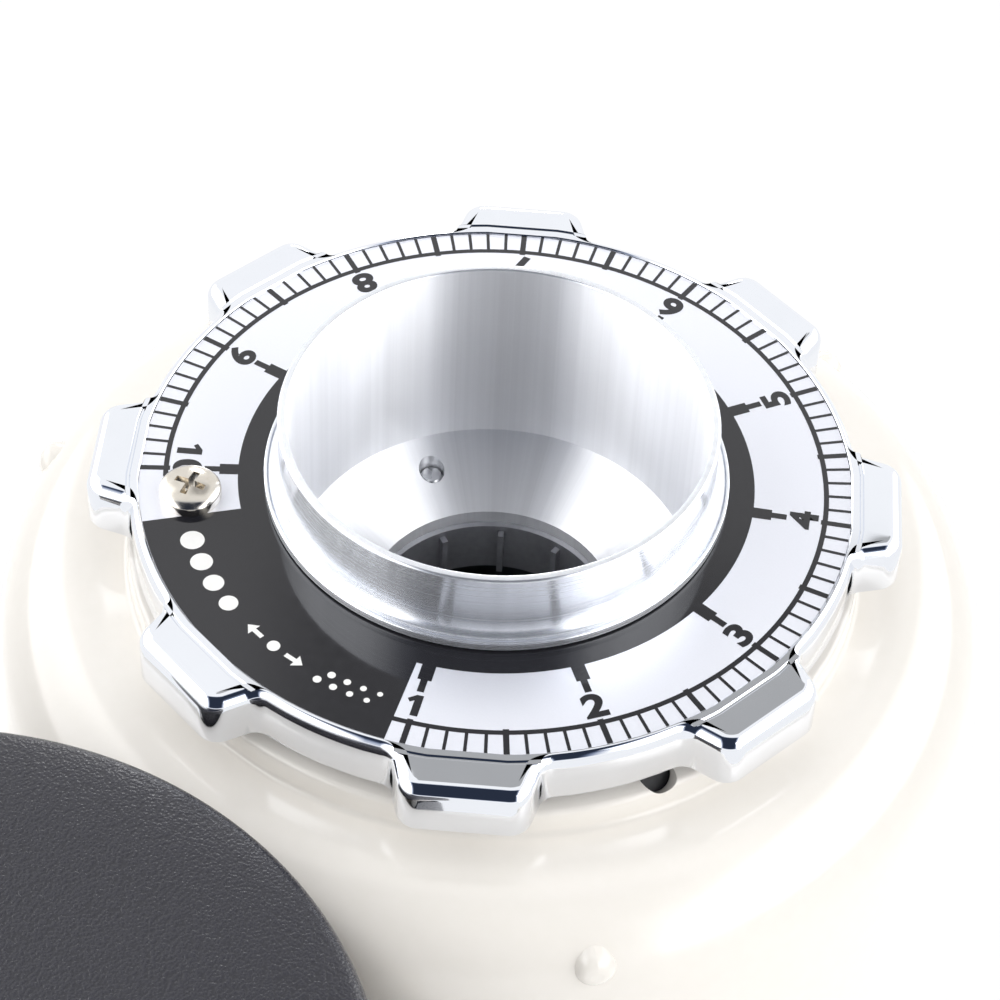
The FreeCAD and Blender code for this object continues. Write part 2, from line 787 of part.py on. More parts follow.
def lock_cylinder(label, radius, start, length):
    """A cylinder along the lock screw, which slants inward and down into the boss."""
    made = doc.addObject("Part::Cylinder", label)
    made.Label = label
    slant = FreeCAD.Rotation(V(0, 1, 0), 180 + num("lock_tilt"))
    made.Placement.Rotation = FreeCAD.Rotation(V(0, 0, 1), num("lock_angle")).multiply(slant)
    reach = f"lock_ring_r - ({start}) * sin(lock_tilt * 1 deg)"
    x, y = polar(reach, "lock_angle")
    made.setExpression("Radius", link(radius))
    made.setExpression("Height", link(length))
    made.setExpression("Placement.Base.x", link(x))
    made.setExpression("Placement.Base.y", link("axis_y + " + y))
    made.setExpression("Placement.Base.z", link(f"boss_top_z - ({start}) * cos(lock_tilt * 1 deg)"))
    return made


lock_hole = lock_cylinder("lock_hole", "lock_screw_r + fit_gap", "-2 * lock_screw_r",
                          "2 * lock_screw_r + lock_recess + lock_length + 2 * overcut")
casing_shell = cut("casing_shell", tower, [hollow])
casing = cut("body_casing", join("casing_solid", [casing_shell, lugs]), [holes, plug_holes, lock_hole])
nodes.append(casing)

# Casing screws: up through the deck into the lugs of the casing
casing_screws = piece("casing_screws")
pad(casing_screws, circles(casing_screws, LUGS, "casing_screw_head_r", lift="deck_under_z"),
    "casing_screw_head", back=True)
pad(casing_screws, circles(casing_screws, LUGS, "casing_screw_r", lift="deck_under_z"),
    "deck_wall + lug_height - 2 * overcut")
nodes.append(casing_screws)

# Casing plugs: painted buttons pressed into the counterbores
plugs = piece("casing_plugs", z="dial_z - plug_down", angle="plug_angle")
plug = turn(plugs, [("plug_seat_r - plug_stem", "0"), ("plug_tip_r", "0"),
                    ("plug_tip_r", "plug_r", "plug_round"), ("plug_seat_r", "plug_r"),
                    ("plug_seat_r", "plug_stem_r"), ("plug_seat_r - plug_stem", "plug_stem_r")], "Edge1")
around(plugs, [plug], "plug_count")
nodes.append(plugs)

# Chamber screws: headless screws through the casing wall into the flange of the chamber
chamber_screws = piece("chamber_screws", z="dial_z - plug_down", angle="plug_angle")
chamber_screw_end = "plug_seat_r - plug_stem - fit_gap"
chamber_screw = turn(chamber_screws, [("chamber_screw_tip_r", "0"), (chamber_screw_end, "0"),
                                      (chamber_screw_end, "chamber_screw_r"),
                                      ("chamber_screw_tip_r", "chamber_screw_r")], "Edge1")
around(chamber_screws, [chamber_screw], "plug_count")
nodes.append(chamber_screws)

# Burr chamber: the casting that holds the ring's thread, the burrs and the motor
chamber = piece("chamber_turning", z="dial_z")
turn(chamber, [("neck_r", "-boss_down"), ("neck_r", "-flange_down"),
               ("chamber_flange_r - chamber_chamfer", "-flange_down"),
               ("chamber_flange_r", "-(flange_down + chamber_chamfer)"),
               ("chamber_flange_r", "-(flange_down + chamber_flange)"),
               ("chamber_shell_r", "-(flange_down + chamber_flange)"),
               ("chamber_shell_r", "-floor_down"), ("skirt_r", "-floor_down"),
               ("skirt_r", "-stator_down"), ("skirt_inner_r", "-stator_down"),
               ("skirt_inner_r", "-(floor_down + floor_wall)"), ("hub_r", "-(floor_down + floor_wall)"),
               ("hub_r", "-(floor_down + floor_wall + hub_length)"),
               ("bearing_r + fit_gap", "-(floor_down + floor_wall + hub_length)"),
               ("bearing_r + fit_gap", "-bearing_top_down"), ("shaft_r + overcut", "-bearing_top_down"),
               ("shaft_r + overcut", "-(floor_down + seal)"), ("seal_r + fit_gap", "-(floor_down + seal)"),
               ("seal_r + fit_gap", "-floor_down"), ("chamber_r", "-floor_down"),
               ("chamber_r", "-ledge_down"), ("thread_r", "-ledge_down"), ("thread_r", "-boss_down")])
front_cut(chamber, "-boss_down", "-(flange_down + chamber_flange)", "inner_flat - run_gap")
spring_hole = pocket(chamber, circles(chamber, [polar("dowel_ring_r", "spring_angle")],
                                      "spring_r + run_gap", lift="-ledge_down"), "spring_sink")
around(chamber, [spring_hole], "spring_count")
dowel_hole = pocket(chamber, circles(chamber, [polar("dowel_ring_r", "dowel_angle")],
                                     "dowel_r + fit_gap", lift="-ledge_down"), "dowel_sink")
around(chamber, [dowel_hole], "dowel_count")
bolt_hole = pocket(chamber, circles(chamber, [polar("motor_bolt_ring_r", "motor_bolt_angle")],
                                    "motor_bolt_r + fit_gap", lift="-stator_down"),
                   "motor_bolt_reach + overcut", ahead=True)
around(chamber, [bolt_hole], "motor_bolt_count")
pocket(chamber, box_outline(chamber, ("-outlet_half", "outlet_half"),
                            ("-outlet_bottom_down", "-outlet_top_down"),
                            "XZ_Plane", "chamber_shell_r"), "chamber_shell_r - chamber_r / 2")
nodes.append(cut("burr_chamber", chamber, [plug_holes, lock_hole]))

# Lock screw of the adjusting ring, sunk in a slanting hole at the edge of the boss
nodes.append(lock_cylinder("ring_lock_screw", "lock_screw_r", "lock_recess", "lock_length"))

# Grounds chute: the square pipe from the chamber's outlet to the doser
chute = piece("grounds_chute", z="dial_z")
chute_start = "chamber_shell_r + run_gap"
chute_length = f"doser_reach - sqrt((cup_r - cup_wall) ^ 2 - chute_half ^ 2) - ({chute_start})"
pad(chute, box_outline(chute, ("-chute_half", "chute_half"), ("-chute_bottom_down", "-chute_top_down"),
                       "XZ_Plane", chute_start), chute_length)
pocket(chute, box_outline(chute, ("-outlet_half", "outlet_half"),
                          ("-outlet_bottom_down", "-outlet_top_down"),
                          "XZ_Plane", f"{chute_start} + {chute_length}"), chute_length)
nodes.append(chute)

# Adjusting ring: a plated collar with eight grip lobes and a threaded skirt in the chamber's neck
ring = piece("adjusting_ring", z="dial_z")
ring_height = "ring_depth + rim_height"
pad(ring, circles(ring, CENTRE, "ring_r", lift="-ring_depth"), ring_height)
lobe_corners = [polar("rim_inner_r", "lobe_angle - lobe_root_half"),
                polar("ring_r", "lobe_angle - lobe_root_half"),
                polar("lobe_r", "lobe_angle - lobe_tip_half"),
                polar("lobe_r", "lobe_angle + lobe_tip_half"),
                polar("ring_r", "lobe_angle + lobe_root_half"),
                polar("rim_inner_r", "lobe_angle + lobe_root_half")]
lobe = pad(ring, outline(ring, lobe_corners, lift="-ring_depth"), ring_height)
lobes = around(ring, [lobe], "lobe_count")


def lobe_edge(radius):
    """A test for the upright edges of the lobes at a radius."""
    def wanted(edge):
        spot = edge.Vertexes[0].Point
        return upright(edge) and abs(math.hypot(spot.x, spot.y) - num(radius)) < 0.05
    return wanted


lobe_corner = fillet(ring, lobes, edges(lobes, lobe_edge("lobe_r")), "lobe_corner_round")
lobe_root = fillet(ring, lobe_corner, edges(lobe_corner, lobe_edge("ring_r")), "lobe_root_round")
top_edge = edges(lobe_root, lambda edge: edge.BoundBox.ZMin > num("rim_height") - 0.01)
fillet(ring, lobe_root, top_edge, "rim_round")
pad(ring, circles(ring, CENTRE, "thread_r - fit_gap", lift="-ring_depth"), "ring_skirt_down - ring_depth",
    back=True)
pocket(ring, circles(ring, CENTRE, "rim_inner_r", lift="rim_height"), "rim_height + dial_thickness")
pocket(ring, circles(ring, CENTRE, "ring_bore_r", lift="0"), "ring_skirt_down")
pocket(ring, circles(ring, CENTRE, "ring_skirt_inner_r", lift="-ring_skirt_down"),
       "ring_skirt_down - dial_thickness - ring_web", ahead=True)
DIAL_SCREW = [polar("dial_screw_ring_r", "dial_screw_angle")]
pocket(ring, circles(ring, DIAL_SCREW, "dial_screw_r + fit_gap", lift="-dial_thickness"),
       "dial_screw_reach + overcut")
nodes.append(ring)

# Dial plate: a flat printed ring let into the top of the adjusting ring
dial = piece("dial_plate", z="dial_z")
turn(dial, [("ring_bore_r", "-dial_thickness"), ("rim_inner_r - fit_gap", "-dial_thickness"),
            ("rim_inner_r - fit_gap", "0"), ("ring_bore_r", "0")])
pocket(dial, circles(dial, DIAL_SCREW, "dial_screw_r + fit_gap"), "dial_thickness")
nodes.append(dial)

# Dial screw: one pan head that holds the dial to the ring
dial_screw_x, dial_screw_y = DIAL_SCREW[0]
dial_screw = piece("dial_screw", x=dial_screw_x, y=f"axis_y + {dial_screw_y}", z="dial_z")
turn(dial_screw, [("0", "-(dial_thickness + dial_screw_reach)"),
                  ("dial_screw_r", "-(dial_thickness + dial_screw_reach)"),
                  ("dial_screw_r", "0"), ("dial_screw_head_r", "0"),
                  ("dial_screw_head_r", "dial_screw_head", "dial_screw_round"), ("0", "dial_screw_head")])
nodes.append(dial_screw)

# Throat collar: the turned tube that takes the hopper's neck, with a coved flange over the dial
throat = piece("throat_collar", z="dial_z")
turn(throat, [("throat_bore_r", "-throat_down"), ("throat_r", "-throat_down"), ("throat_r", "run_gap"),
              ("throat_flange_r", "run_gap"),
              ("throat_flange_r", "run_gap + throat_flange", "throat_round"),
              ("throat_r", "run_gap + throat_flange", "throat_cove"),
              ("throat_r", "throat_height", "throat_round"),
              ("throat_bore_r", "throat_height", "throat_round")])
nodes.append(throat)

# Upper burr carrier: the socket of the throat, a shallow cone and the seat of the upper burr
carrier = piece("upper_burr_carrier", z="dial_z")
flange_end_down = "flange_top_down + carrier_flange"
turn(carrier, [("throat_bore_r", "-throat_down"), ("throat_r + fit_gap", "-throat_down"),
               ("throat_r + fit_gap", "-carrier_boss_down"), ("carrier_boss_r", "-carrier_boss_down"),
               ("carrier_boss_r", "-flange_top_down"), ("carrier_flange_r", "-flange_top_down"),
               ("carrier_flange_r", f"-({flange_end_down})"), ("burr_r + fit_gap", f"-({flange_end_down})"),
               ("burr_r + fit_gap", "-burr_top_down"), ("cone_r", "-burr_top_down"),
               ("cone_r", "-cone_down")])
carrier_hole = pocket(carrier, circles(carrier, [polar("dowel_ring_r", "dowel_angle")], "dowel_r + run_gap",
                                       lift="-flange_top_down"), "carrier_flange")
around(carrier, [carrier_hole], "dowel_count")
BURR_SCREW = [polar("burr_screw_ring_r", "burr_screw_angle")]
tapped = pocket(carrier, circles(carrier, BURR_SCREW, "burr_screw_r + fit_gap", lift="-burr_top_down"),
                "burr_top_down - throat_down", ahead=True)
around(carrier, [tapped], "burr_screw_count")
nodes.append(carrier)

# Carrier dowels: pins in the chamber's ledge that keep the carrier from turning
dowels = piece("carrier_dowels", z="dial_z")
dowel = pad(dowels, circles(dowels, [polar("dowel_ring_r", "dowel_angle")], "dowel_r",
                            lift="-(ledge_down + dowel_sink)"), "dowel_sink + dowel_rise")
around(dowels, [dowel], "dowel_count")
nodes.append(dowels)

# Carrier springs: lift the carrier against the ring so that the thread has no play
springs = piece("carrier_springs", z="dial_z")
spring_length = f"ledge_down + spring_sink - ({flange_end_down})"
spring_spot = [polar("dowel_ring_r", "spring_angle")]
spring = pad(springs, circles(springs, spring_spot, "spring_r", lift="-(ledge_down + spring_sink)"),
             spring_length)
spring_bore = pocket(springs, circles(springs, spring_spot, "spring_r - spring_wire",
                                      lift="-(ledge_down + spring_sink)"), spring_length, ahead=True)
around(springs, [spring, spring_bore], "spring_count")
nodes.append(springs)


def burr(label, face_down, upward):
    """A flat burr with a toothed face that looks down (upward teeth cuts) or up."""
    made = piece(label, z="dial_z")
    sign = "" if upward else "-"
    turn(made, [("burr_bore_r", f"-({face_down}) + {sign}burr_height"),
                ("burr_r", f"-({face_down}) + {sign}burr_height"),
                ("burr_r", f"-({face_down})"), ("burr_throat_r", f"-({face_down})"),
                ("burr_bore_r", f"-({face_down}) + {sign}burr_throat")])
    tooth = pocket(made, outline(made, [("burr_throat_r - tooth_depth", "-tooth_width / 2"),
                                        ("burr_r + overcut", "tooth_slant - tooth_width / 2"),
                                        ("burr_r + overcut", "tooth_slant + tooth_width / 2"),
                                        ("burr_throat_r - tooth_depth", "tooth_width / 2")],
                                 lift=f"-({face_down})"), "tooth_depth", ahead=upward)
    around(made, [tooth], "tooth_count")
    breaker = pocket(made, box_outline(made, ("burr_bore_r - overcut", "burr_throat_r"),
                                       ("-breaker_width / 2", "breaker_width / 2"), lift=f"-({face_down})"),
                     "breaker_depth", ahead=upward)
    around(made, [breaker], "breaker_count")
    seat = pocket(made, circles(made, BURR_SCREW, "burr_screw_head_r + fit_gap", lift=f"-({face_down})"),
                  "burr_screw_sink + burr_screw_head", ahead=upward)
    through = pocket(made, circles(made, BURR_SCREW, "burr_screw_r + fit_gap", lift=f"-({face_down})"),
                     "burr_height", ahead=upward)
    around(made, [seat, through], "burr_screw_count")
    nodes.append(made)


def burr_screws(label, face_down, upward):
    """Three screws, sunk in the face of a burr, that hold it to its carrier."""
    made = piece(label, z="dial_z")
    sign = "+" if upward else "-"
    head_lift = f"-({face_down}) {sign} burr_screw_sink"
    head = pad(made, circles(made, BURR_SCREW, "burr_screw_head_r", lift=head_lift), "burr_screw_head",
               back=not upward)
    shank = pad(made, circles(made, BURR_SCREW, "burr_screw_r", lift=head_lift),
                "burr_height - burr_screw_sink + burr_screw_reach", back=not upward)
    around(made, [head, shank], "burr_screw_count")
    nodes.append(made)


# Upper burr, fixed, with its teeth looking down
burr("upper_burr", "burr_face_down", True)
burr_screws("upper_burr_screws", "burr_face_down", True)

# Lower burr, turning with the shaft, with its teeth looking up
burr("lower_burr", "lower_face_down", False)
burr_screws("lower_burr_screws", "lower_face_down", False)

# Lower burr carrier: a turntable on the shaft whose sweepers push the grounds to the outlet
turntable = piece("lower_burr_carrier", z="dial_z")
turn(turntable, [("shaft_r + shaft_gap", "-(lower_seat_down - turntable_pilot)"),
                 ("burr_bore_r - fit_gap", "-(lower_seat_down - turntable_pilot)"),
                 ("burr_bore_r - fit_gap", "-lower_seat_down"), ("turntable_r", "-lower_seat_down"),
                 ("turntable_r", "-(lower_seat_down + turntable)"),
                 ("turntable_hub_r", "-(lower_seat_down + turntable)"),
                 ("turntable_hub_r", "-(floor_down - run_gap)"),
                 ("shaft_r + shaft_gap", "-(floor_down - run_gap)")])
sweeper = pad(turntable, box_outline(turntable, ("turntable_r - sweeper_width", "sweeper_r"),
                                     ("-sweeper_width / 2", "sweeper_width / 2"),
                                     lift="-(lower_seat_down + turntable)"), "turntable - overcut")
blade = pad(turntable, box_outline(turntable, ("turntable_r - sweeper_width", "sweeper_r"),
                                   ("-sweeper_width / 2", "sweeper_width / 2"),
                                   lift="-(lower_seat_down + turntable)"), "sweeper_drop", back=True)
around(turntable, [sweeper, blade], "sweeper_count")
table_hole = pocket(turntable, circles(turntable, BURR_SCREW, "burr_screw_r + fit_gap",
                                       lift="-lower_seat_down"), "turntable")
around(turntable, [table_hole], "burr_screw_count")
nodes.append(turntable)

# Feed cone: the nut on the shaft, with ribs that draw the beans outward
feed = piece("feed_cone", z="dial_z")
feed_seat = "-(lower_seat_down - turntable_pilot)"
turn(feed, [("shaft_thread_r + fit_gap", feed_seat), ("feed_cone_r", feed_seat),
            ("feed_cone_tip_r", f"{feed_seat} + feed_cone"),
            ("shaft_thread_r + fit_gap", f"{feed_seat} + feed_cone")])
rib = pad(feed, box_outline(feed, ("shaft_thread_r + fit_gap + overcut", "feed_cone_r"),
                            ("-feed_rib_width / 2", "feed_rib_width / 2"), lift=feed_seat), "feed_cone / 2")
around(feed, [rib], "feed_rib_count")
nodes.append(feed)

# Shaft seal: keeps grounds out of the upper bearing
seal = piece("shaft_seal", z="dial_z")
turn(seal, [("shaft_r + fit_gap", "-(floor_down + seal)"), ("seal_r", "-(floor_down + seal)"),
            ("seal_r", "-floor_down"), ("shaft_r + fit_gap", "-floor_down")])
nodes.append(seal)

# Motor shaft: one turned bar from the lower bearing to the feed cone
shaft = piece("motor_shaft", z="dial_z")
shaft_step = "-(lower_seat_down - turntable_pilot + fit_gap)"
turn(shaft, [("0", "-(bell_floor_down - run_gap)"), ("shaft_r", "-(bell_floor_down - run_gap)"),
             ("shaft_r", shaft_step), ("shaft_thread_r", shaft_step),
             ("shaft_thread_r", f"{feed_seat} + feed_cone - overcut"),
             ("0", f"{feed_seat} + feed_cone - overcut")])
nodes.append(shaft)


def bearing(label, top_down):
    """A ball bearing, its races told apart by a groove in each face."""
    made = piece(label, z="dial_z")
    inner, outer = "shaft_r + shaft_gap", "bearing_r"
    top, bottom = f"-({top_down})", f"-({top_down} + bearing)"
    turn(made, [(inner, bottom), (f"{inner} + bearing_race", bottom),
                (f"{inner} + bearing_race", f"{bottom} + bearing_groove"),
                (f"{outer} - bearing_race", f"{bottom} + bearing_groove"),
                (f"{outer} - bearing_race", bottom), (outer, bottom), (outer, top),
                (f"{outer} - bearing_race", top), (f"{outer} - bearing_race", f"{top} - bearing_groove"),
                (f"{inner} + bearing_race", f"{top} - bearing_groove"), (f"{inner} + bearing_race", top),
                (inner, top)])
    nodes.append(made)


# Bearings: one in the chamber's hub, one in the end bell
bearing("upper_bearing", "bearing_top_down")
bearing("lower_bearing", "bell_floor_down - bearing")

# Motor rotor: the core pressed on the shaft
rotor = piece("motor_rotor", z="dial_z")
turn(rotor, [("shaft_r + shaft_gap", "-stator_end_down"), ("rotor_r", "-stator_end_down"),
             ("rotor_r", "-stator_down"), ("shaft_r + shaft_gap", "-stator_down")])
nodes.append(rotor)

# Motor stator: the core clamped between the chamber's skirt and the end bell
stator = piece("motor_stator", z="dial_z")
turn(stator, [("rotor_r + air_gap", "-stator_end_down"), ("skirt_r", "-stator_end_down"),
              ("skirt_r", "-stator_down"), ("rotor_r + air_gap", "-stator_down")])
BOLT = [polar("motor_bolt_ring_r", "motor_bolt_angle")]
stator_hole = pocket(stator, circles(stator, BOLT, "motor_bolt_r + fit_gap", lift="-stator_down"),
                     "stator_length")
around(stator, [stator_hole], "motor_bolt_count")
nodes.append(stator)

# Motor coils: the end windings above and below the stator
coils = piece("motor_coils", z="dial_z")
for foot, top in (("-stator_down", "-stator_down + coil_rise"),
                  ("-stator_end_down - coil_rise", "-stator_end_down")):
    turn(coils, [("coil_inner_r", foot, "coil_round"), ("coil_r", foot, "coil_round"),
                 ("coil_r", top, "coil_round"), ("coil_inner_r", top, "coil_round")])
nodes.append(coils)

# Motor end bell: the cup below the stator, with the seat of the lower bearing
bell = piece("motor_end_bell", z="dial_z")
bearing_mouth = "-(bell_floor_down - bearing)"
turn(bell, [("skirt_inner_r", "-stator_end_down"), ("skirt_r", "-stator_end_down"),
            ("skirt_r", "-bell_end_down", "bell_round"), ("0", "-bell_end_down"), ("0", "-bell_floor_down"),
            ("bearing_r + fit_gap", "-bell_floor_down"), ("bearing_r + fit_gap", bearing_mouth),
            ("bell_hub_r", bearing_mouth), ("bell_hub_r", "-bell_floor_down"),
            ("skirt_inner_r", "-bell_floor_down")])
bell_hole = pocket(bell, circles(bell, BOLT, "motor_bolt_r + fit_gap", lift="-stator_end_down"),
                   "bell_end_down - stator_end_down")
around(bell, [bell_hole], "motor_bolt_count")
nodes.append(bell)

# Motor bolts: long bolts through the end bell and the stator into the chamber
bolts = piece("motor_bolts", z="dial_z")
bolt_head = pad(bolts, circles(bolts, BOLT, "motor_bolt_head_r", lift="-bell_end_down"), "motor_bolt_head",
                back=True)
bolt_shank = pad(bolts, circles(bolts, BOLT, "motor_bolt_r", lift="-bell_end_down"),
                 "bell_end_down - stator_down + motor_bolt_reach")
around(bolts, [bolt_head, bolt_shank], "motor_bolt_count")
nodes.append(bolts)

# Run capacitor: a can that stands on the deck inside the casing
capacitor = piece("run_capacitor", x="-capacitor_x", y="axis_y + capacitor_y", z="deck_z")
turn(capacitor, [("0", "0"), ("capacitor_r", "0", "capacitor_round"),
                 ("capacitor_r", "capacitor_height", "capacitor_round"), ("0", "capacitor_height")])
nodes.append(capacitor)

# Capacitor clamp: a band round the can with a tab on the deck
clamp = piece("capacitor_clamp", x="-capacitor_x", y="axis_y + capacitor_y", z="deck_z")
clamp_r = "capacitor_r + fit_gap + clamp_wall"
pad(clamp, circles(clamp, CENTRE, clamp_r), "clamp_height")
pad(clamp, box_outline(clamp, ("0", f"{clamp_r} + clamp_tab"), ("-clamp_tab / 2", "clamp_tab / 2")),
    "clamp_wall")
pocket(clamp, circles(clamp, CENTRE, "capacitor_r + fit_gap"), "clamp_height", ahead=True)
nodes.append(clamp)

# Terminal block: a stepped block on the deck where the cord's wires end
terminal = piece("terminal_block", x="terminal_x", y="axis_y + terminal_y", z="deck_z")
pad(terminal, box_outline(terminal, ("-terminal_width / 2", "terminal_width / 2"), ("0", "terminal_depth")),
    "terminal_height")
pocket(terminal, box_outline(terminal, ("-terminal_width / 2", "terminal_width / 2"),
                             ("0", "terminal_depth / 2"), lift="terminal_height"), "terminal_step")
nodes.append(terminal)

# Switch housing: a snap-in frame on the right side with a well for the rocker
switch = piece("switch_housing", z="switch_z")
half_width, half_height = "switch_half_width", "switch_half_height"
pad(switch, box_outline(switch, (f"-({half_width} + switch_lip)", f"{half_width} + switch_lip"),
                        (f"-({half_height} + switch_lip)", f"{half_height} + switch_lip"), "YZ_Plane",
                        "switch_face_x - switch_lip_depth", "switch_lip"), "switch_lip_depth")
pad(switch, box_outline(switch, (f"-{half_width}", half_width), (f"-{half_height}", half_height),
                        "YZ_Plane", "switch_face_x - switch_depth"), "switch_depth")
well_half = "switch_half_width - switch_wall"
pocket(switch, box_outline(switch, (f"-({well_half})", well_half),
                           ("-(rocker_r + run_gap)", "rocker_r + run_gap"),
                           "YZ_Plane", "switch_face_x"), "switch_depth - switch_wall")
pocket(switch, circles(switch, [("pivot_x", "0")], "rocker_pin_r + fit_gap", "XZ_Plane",
                       "-(switch_half_width - switch_wall / 2)"),
       "switch_half_width * 2 - switch_wall", ahead=True)
nodes.append(switch)

# Switch rocker: a drum sector on a pin, resting with its upper end out
rocker = piece("switch_rocker", x="pivot_x", z="switch_z")
rocker.setExpression("Placement.Rotation.Angle", link("rocker_tilt * 1 deg"))
rocker_face = "rocker_pivot + rocker_r * tan(rocker_tilt * 1 deg)"
rocker_half = "switch_half_width - switch_wall - run_gap"
pad(rocker, circles(rocker, CENTRE, "rocker_r", "XZ_Plane", f"-({rocker_half})"), f"2 * ({rocker_half})")
pocket(rocker, outline(rocker, [("rocker_pivot", "0"), (rocker_face, "-rocker_r"),
                                ("2 * rocker_r", "-rocker_r"), ("2 * rocker_r", "rocker_r"),
                                (rocker_face, "rocker_r")],
                       "XZ_Plane", f"-({rocker_half})"), f"2 * ({rocker_half})", ahead=True)
pocket(rocker, box_outline(rocker, ("-2 * rocker_r", "-2 * rocker_pin_r"), ("-rocker_r", "rocker_r"),
                           "XZ_Plane", f"-({rocker_half})"), f"2 * ({rocker_half})", ahead=True)
pad(rocker, circles(rocker, CENTRE, "rocker_pin_r", "XZ_Plane",
                    "-(switch_half_width - switch_wall / 2 - fit_gap)"),
    "2 * (switch_half_width - switch_wall / 2 - fit_gap)")
rocker.Placement = FreeCAD.Placement(rocker.Placement.Base,
                                     FreeCAD.Rotation(V(0, 1, 0), num("rocker_tilt")))
nodes.append(rocker)

# Doser cup: the dark drum under the window, flanged to the casing and open below at the front
cup = piece("doser_cup", y="doser_y", z="dial_z")
pad(cup, circles(cup, CENTRE, "cup_r", lift="-cup_end_down"), "cup_height")
flange_face = "doser_reach - front_flat"
pad(cup, box_outline(cup, ("-cup_flange_half", "cup_flange_half"), ("0", flange_face),
                     lift="-(cup_down + cup_flange_bottom)"), "cup_flange_bottom - cup_flange_top")
pocket(cup, circles(cup, CENTRE, "cup_r - cup_wall", lift="-cup_down"), "cup_height - cup_floor")
pocket(cup, circles(cup, CENTRE, "doser_shaft_r + fit_gap", lift="-cup_floor_down"), "cup_floor")
pocket(cup, box_outline(cup, ("-cup_outlet_half", "cup_outlet_half"),
                        ("-cup_outlet_far", "-cup_outlet_near"),
                        lift="-cup_floor_down", radius="cup_outlet_round"), "cup_floor")
pocket(cup, box_outline(cup, ("-(chute_half + run_gap)", "chute_half + run_gap"),
                        ("-chute_bottom_down - run_gap", "-chute_top_down + run_gap"), "XZ_Plane"),
       flange_face)
CUP_SCREWS = [(x, f"{z} - dial_z") for x, z in DOSER_SCREWS]
pocket(cup, circles(cup, CUP_SCREWS, "doser_screw_r + fit_gap", "XZ_Plane", f"-({flange_face})"),
       "doser_screw_reach + overcut", ahead=True)
SPOUT_SCREWS = [(side + "spout_screw_x", "-(spout_ear_near + spout_ear_far) / 2") for side in ("-", "")]
pocket(cup, circles(cup, SPOUT_SCREWS, "spout_screw_r + fit_gap", lift="-cup_end_down"),
       "spout_screw_reach + fit_gap", ahead=True)
nodes.append(cup)

# Doser screws: from inside the casing into the doser's flange
doser_screws = piece("doser_screws", z="dial_z")
pad(doser_screws, circles(doser_screws, CUP_SCREWS, "doser_screw_head_r", "XZ_Plane", "inner_flat"),
    "doser_screw_head", back=True)
pad(doser_screws, circles(doser_screws, CUP_SCREWS, "doser_screw_r", "XZ_Plane", "inner_flat"),
    "casing_wall + doser_screw_reach")
nodes.append(doser_screws)

# Doser window: a clear ring that stands on the cup
window = piece("doser_window", y="doser_y", z="dial_z")
turn(window, [("window_r - window_wall", "-cup_down"), ("window_r", "-cup_down"),
              ("window_r", "-window_down"), ("window_r - window_wall", "-window_down")])
nodes.append(window)

# Doser lid: a black cap with a rounded edge whose skirt drops over the window
lid = piece("doser_lid", y="doser_y", z="dial_z")
turn(lid, [("0", "-lid_down"), ("lid_r", "-lid_down", "lid_round"), ("lid_r", "-(lid_down + lid_skirt)"),
           ("window_r + run_gap", "-(lid_down + lid_skirt)"), ("window_r + run_gap", "-window_down"),
           ("window_r - window_wall - lid_wall", "-window_down"),
           ("window_r - window_wall - lid_wall", "-(lid_down + lid_wall)"),
           ("0", "-(lid_down + lid_wall)")])
nodes.append(lid)

# Dosing star: six vanes on a hub that carry each dose round to the outlet
star = piece("doser_star", y="doser_y", z="dial_z")
turn(star, [("doser_shaft_r + fit_gap", "-star_end_down"), ("star_hub_r", "-star_end_down"),
            ("star_hub_r", "-star_top_down"), ("doser_shaft_r + fit_gap", "-star_top_down")])
vane = pad(star, box_outline(star, ("star_hub_r - overcut", "star_r"), ("-star_vane / 2", "star_vane / 2"),
                             lift="-star_end_down"), "star_height")
around(star, [vane], "star_count")
nodes.append(star)

# Doser shaft: turns in the cup's floor, carries the star above it and the lever below it
doser_shaft = piece("doser_shaft", y="doser_y", z="dial_z")
shaft_end_down = "lever_end_down + run_gap"
turn(doser_shaft, [("0", f"-({shaft_end_down} + doser_shaft_head)"),
                   ("doser_shaft_head_r", f"-({shaft_end_down} + doser_shaft_head)"),
                   ("doser_shaft_head_r", f"-({shaft_end_down})"),
                   ("doser_shaft_r", f"-({shaft_end_down})"),
                   ("doser_shaft_r", "-star_top_down + doser_shaft_rise"),
                   ("0", "-star_top_down + doser_shaft_rise")])
nodes.append(doser_shaft)

# Dose nut: the hand nut on top of the star, with finger notches
dose_nut = piece("dose_nut", y="doser_y", z="dial_z")
turn(dose_nut, [("doser_shaft_r + fit_gap", "-star_top_down"), ("dose_nut_r", "-star_top_down"),
                ("dose_nut_r", "-star_top_down + dose_nut"),
                ("doser_shaft_r + fit_gap", "-star_top_down + dose_nut")])
notch = pocket(dose_nut, circles(dose_nut, [("dose_nut_r + dose_nut_notch_r / 2", "0")], "dose_nut_notch_r",
                                 lift="-star_top_down"), "dose_nut", ahead=True)
around(dose_nut, [notch], "dose_nut_lobes")
nodes.append(dose_nut)

# Doser lever: a flat arm on a hub under the cup
lever = piece("doser_lever", y="doser_y", z="dial_z", angle="lever_angle")
turn(lever, [("doser_shaft_r + fit_gap", "-lever_end_down"), ("lever_boss_r", "-lever_end_down"),
             ("lever_boss_r", "-lever_boss_down"), ("lever_hub_r", "-lever_boss_down"),
             ("lever_hub_r", "-lever_top_down"), ("doser_shaft_r + fit_gap", "-lever_top_down")])
pad(lever, outline(lever, [("lever_boss_r", "-lever_half"), ("knob_start", "-lever_tip_half"),
                           ("lever_reach", "-lever_tip_half"), ("lever_reach", "lever_tip_half"),
                           ("knob_start", "lever_tip_half"), ("lever_boss_r", "lever_half")],
                   lift="-lever_top_down"), "lever_plate", back=True)
nodes.append(lever)

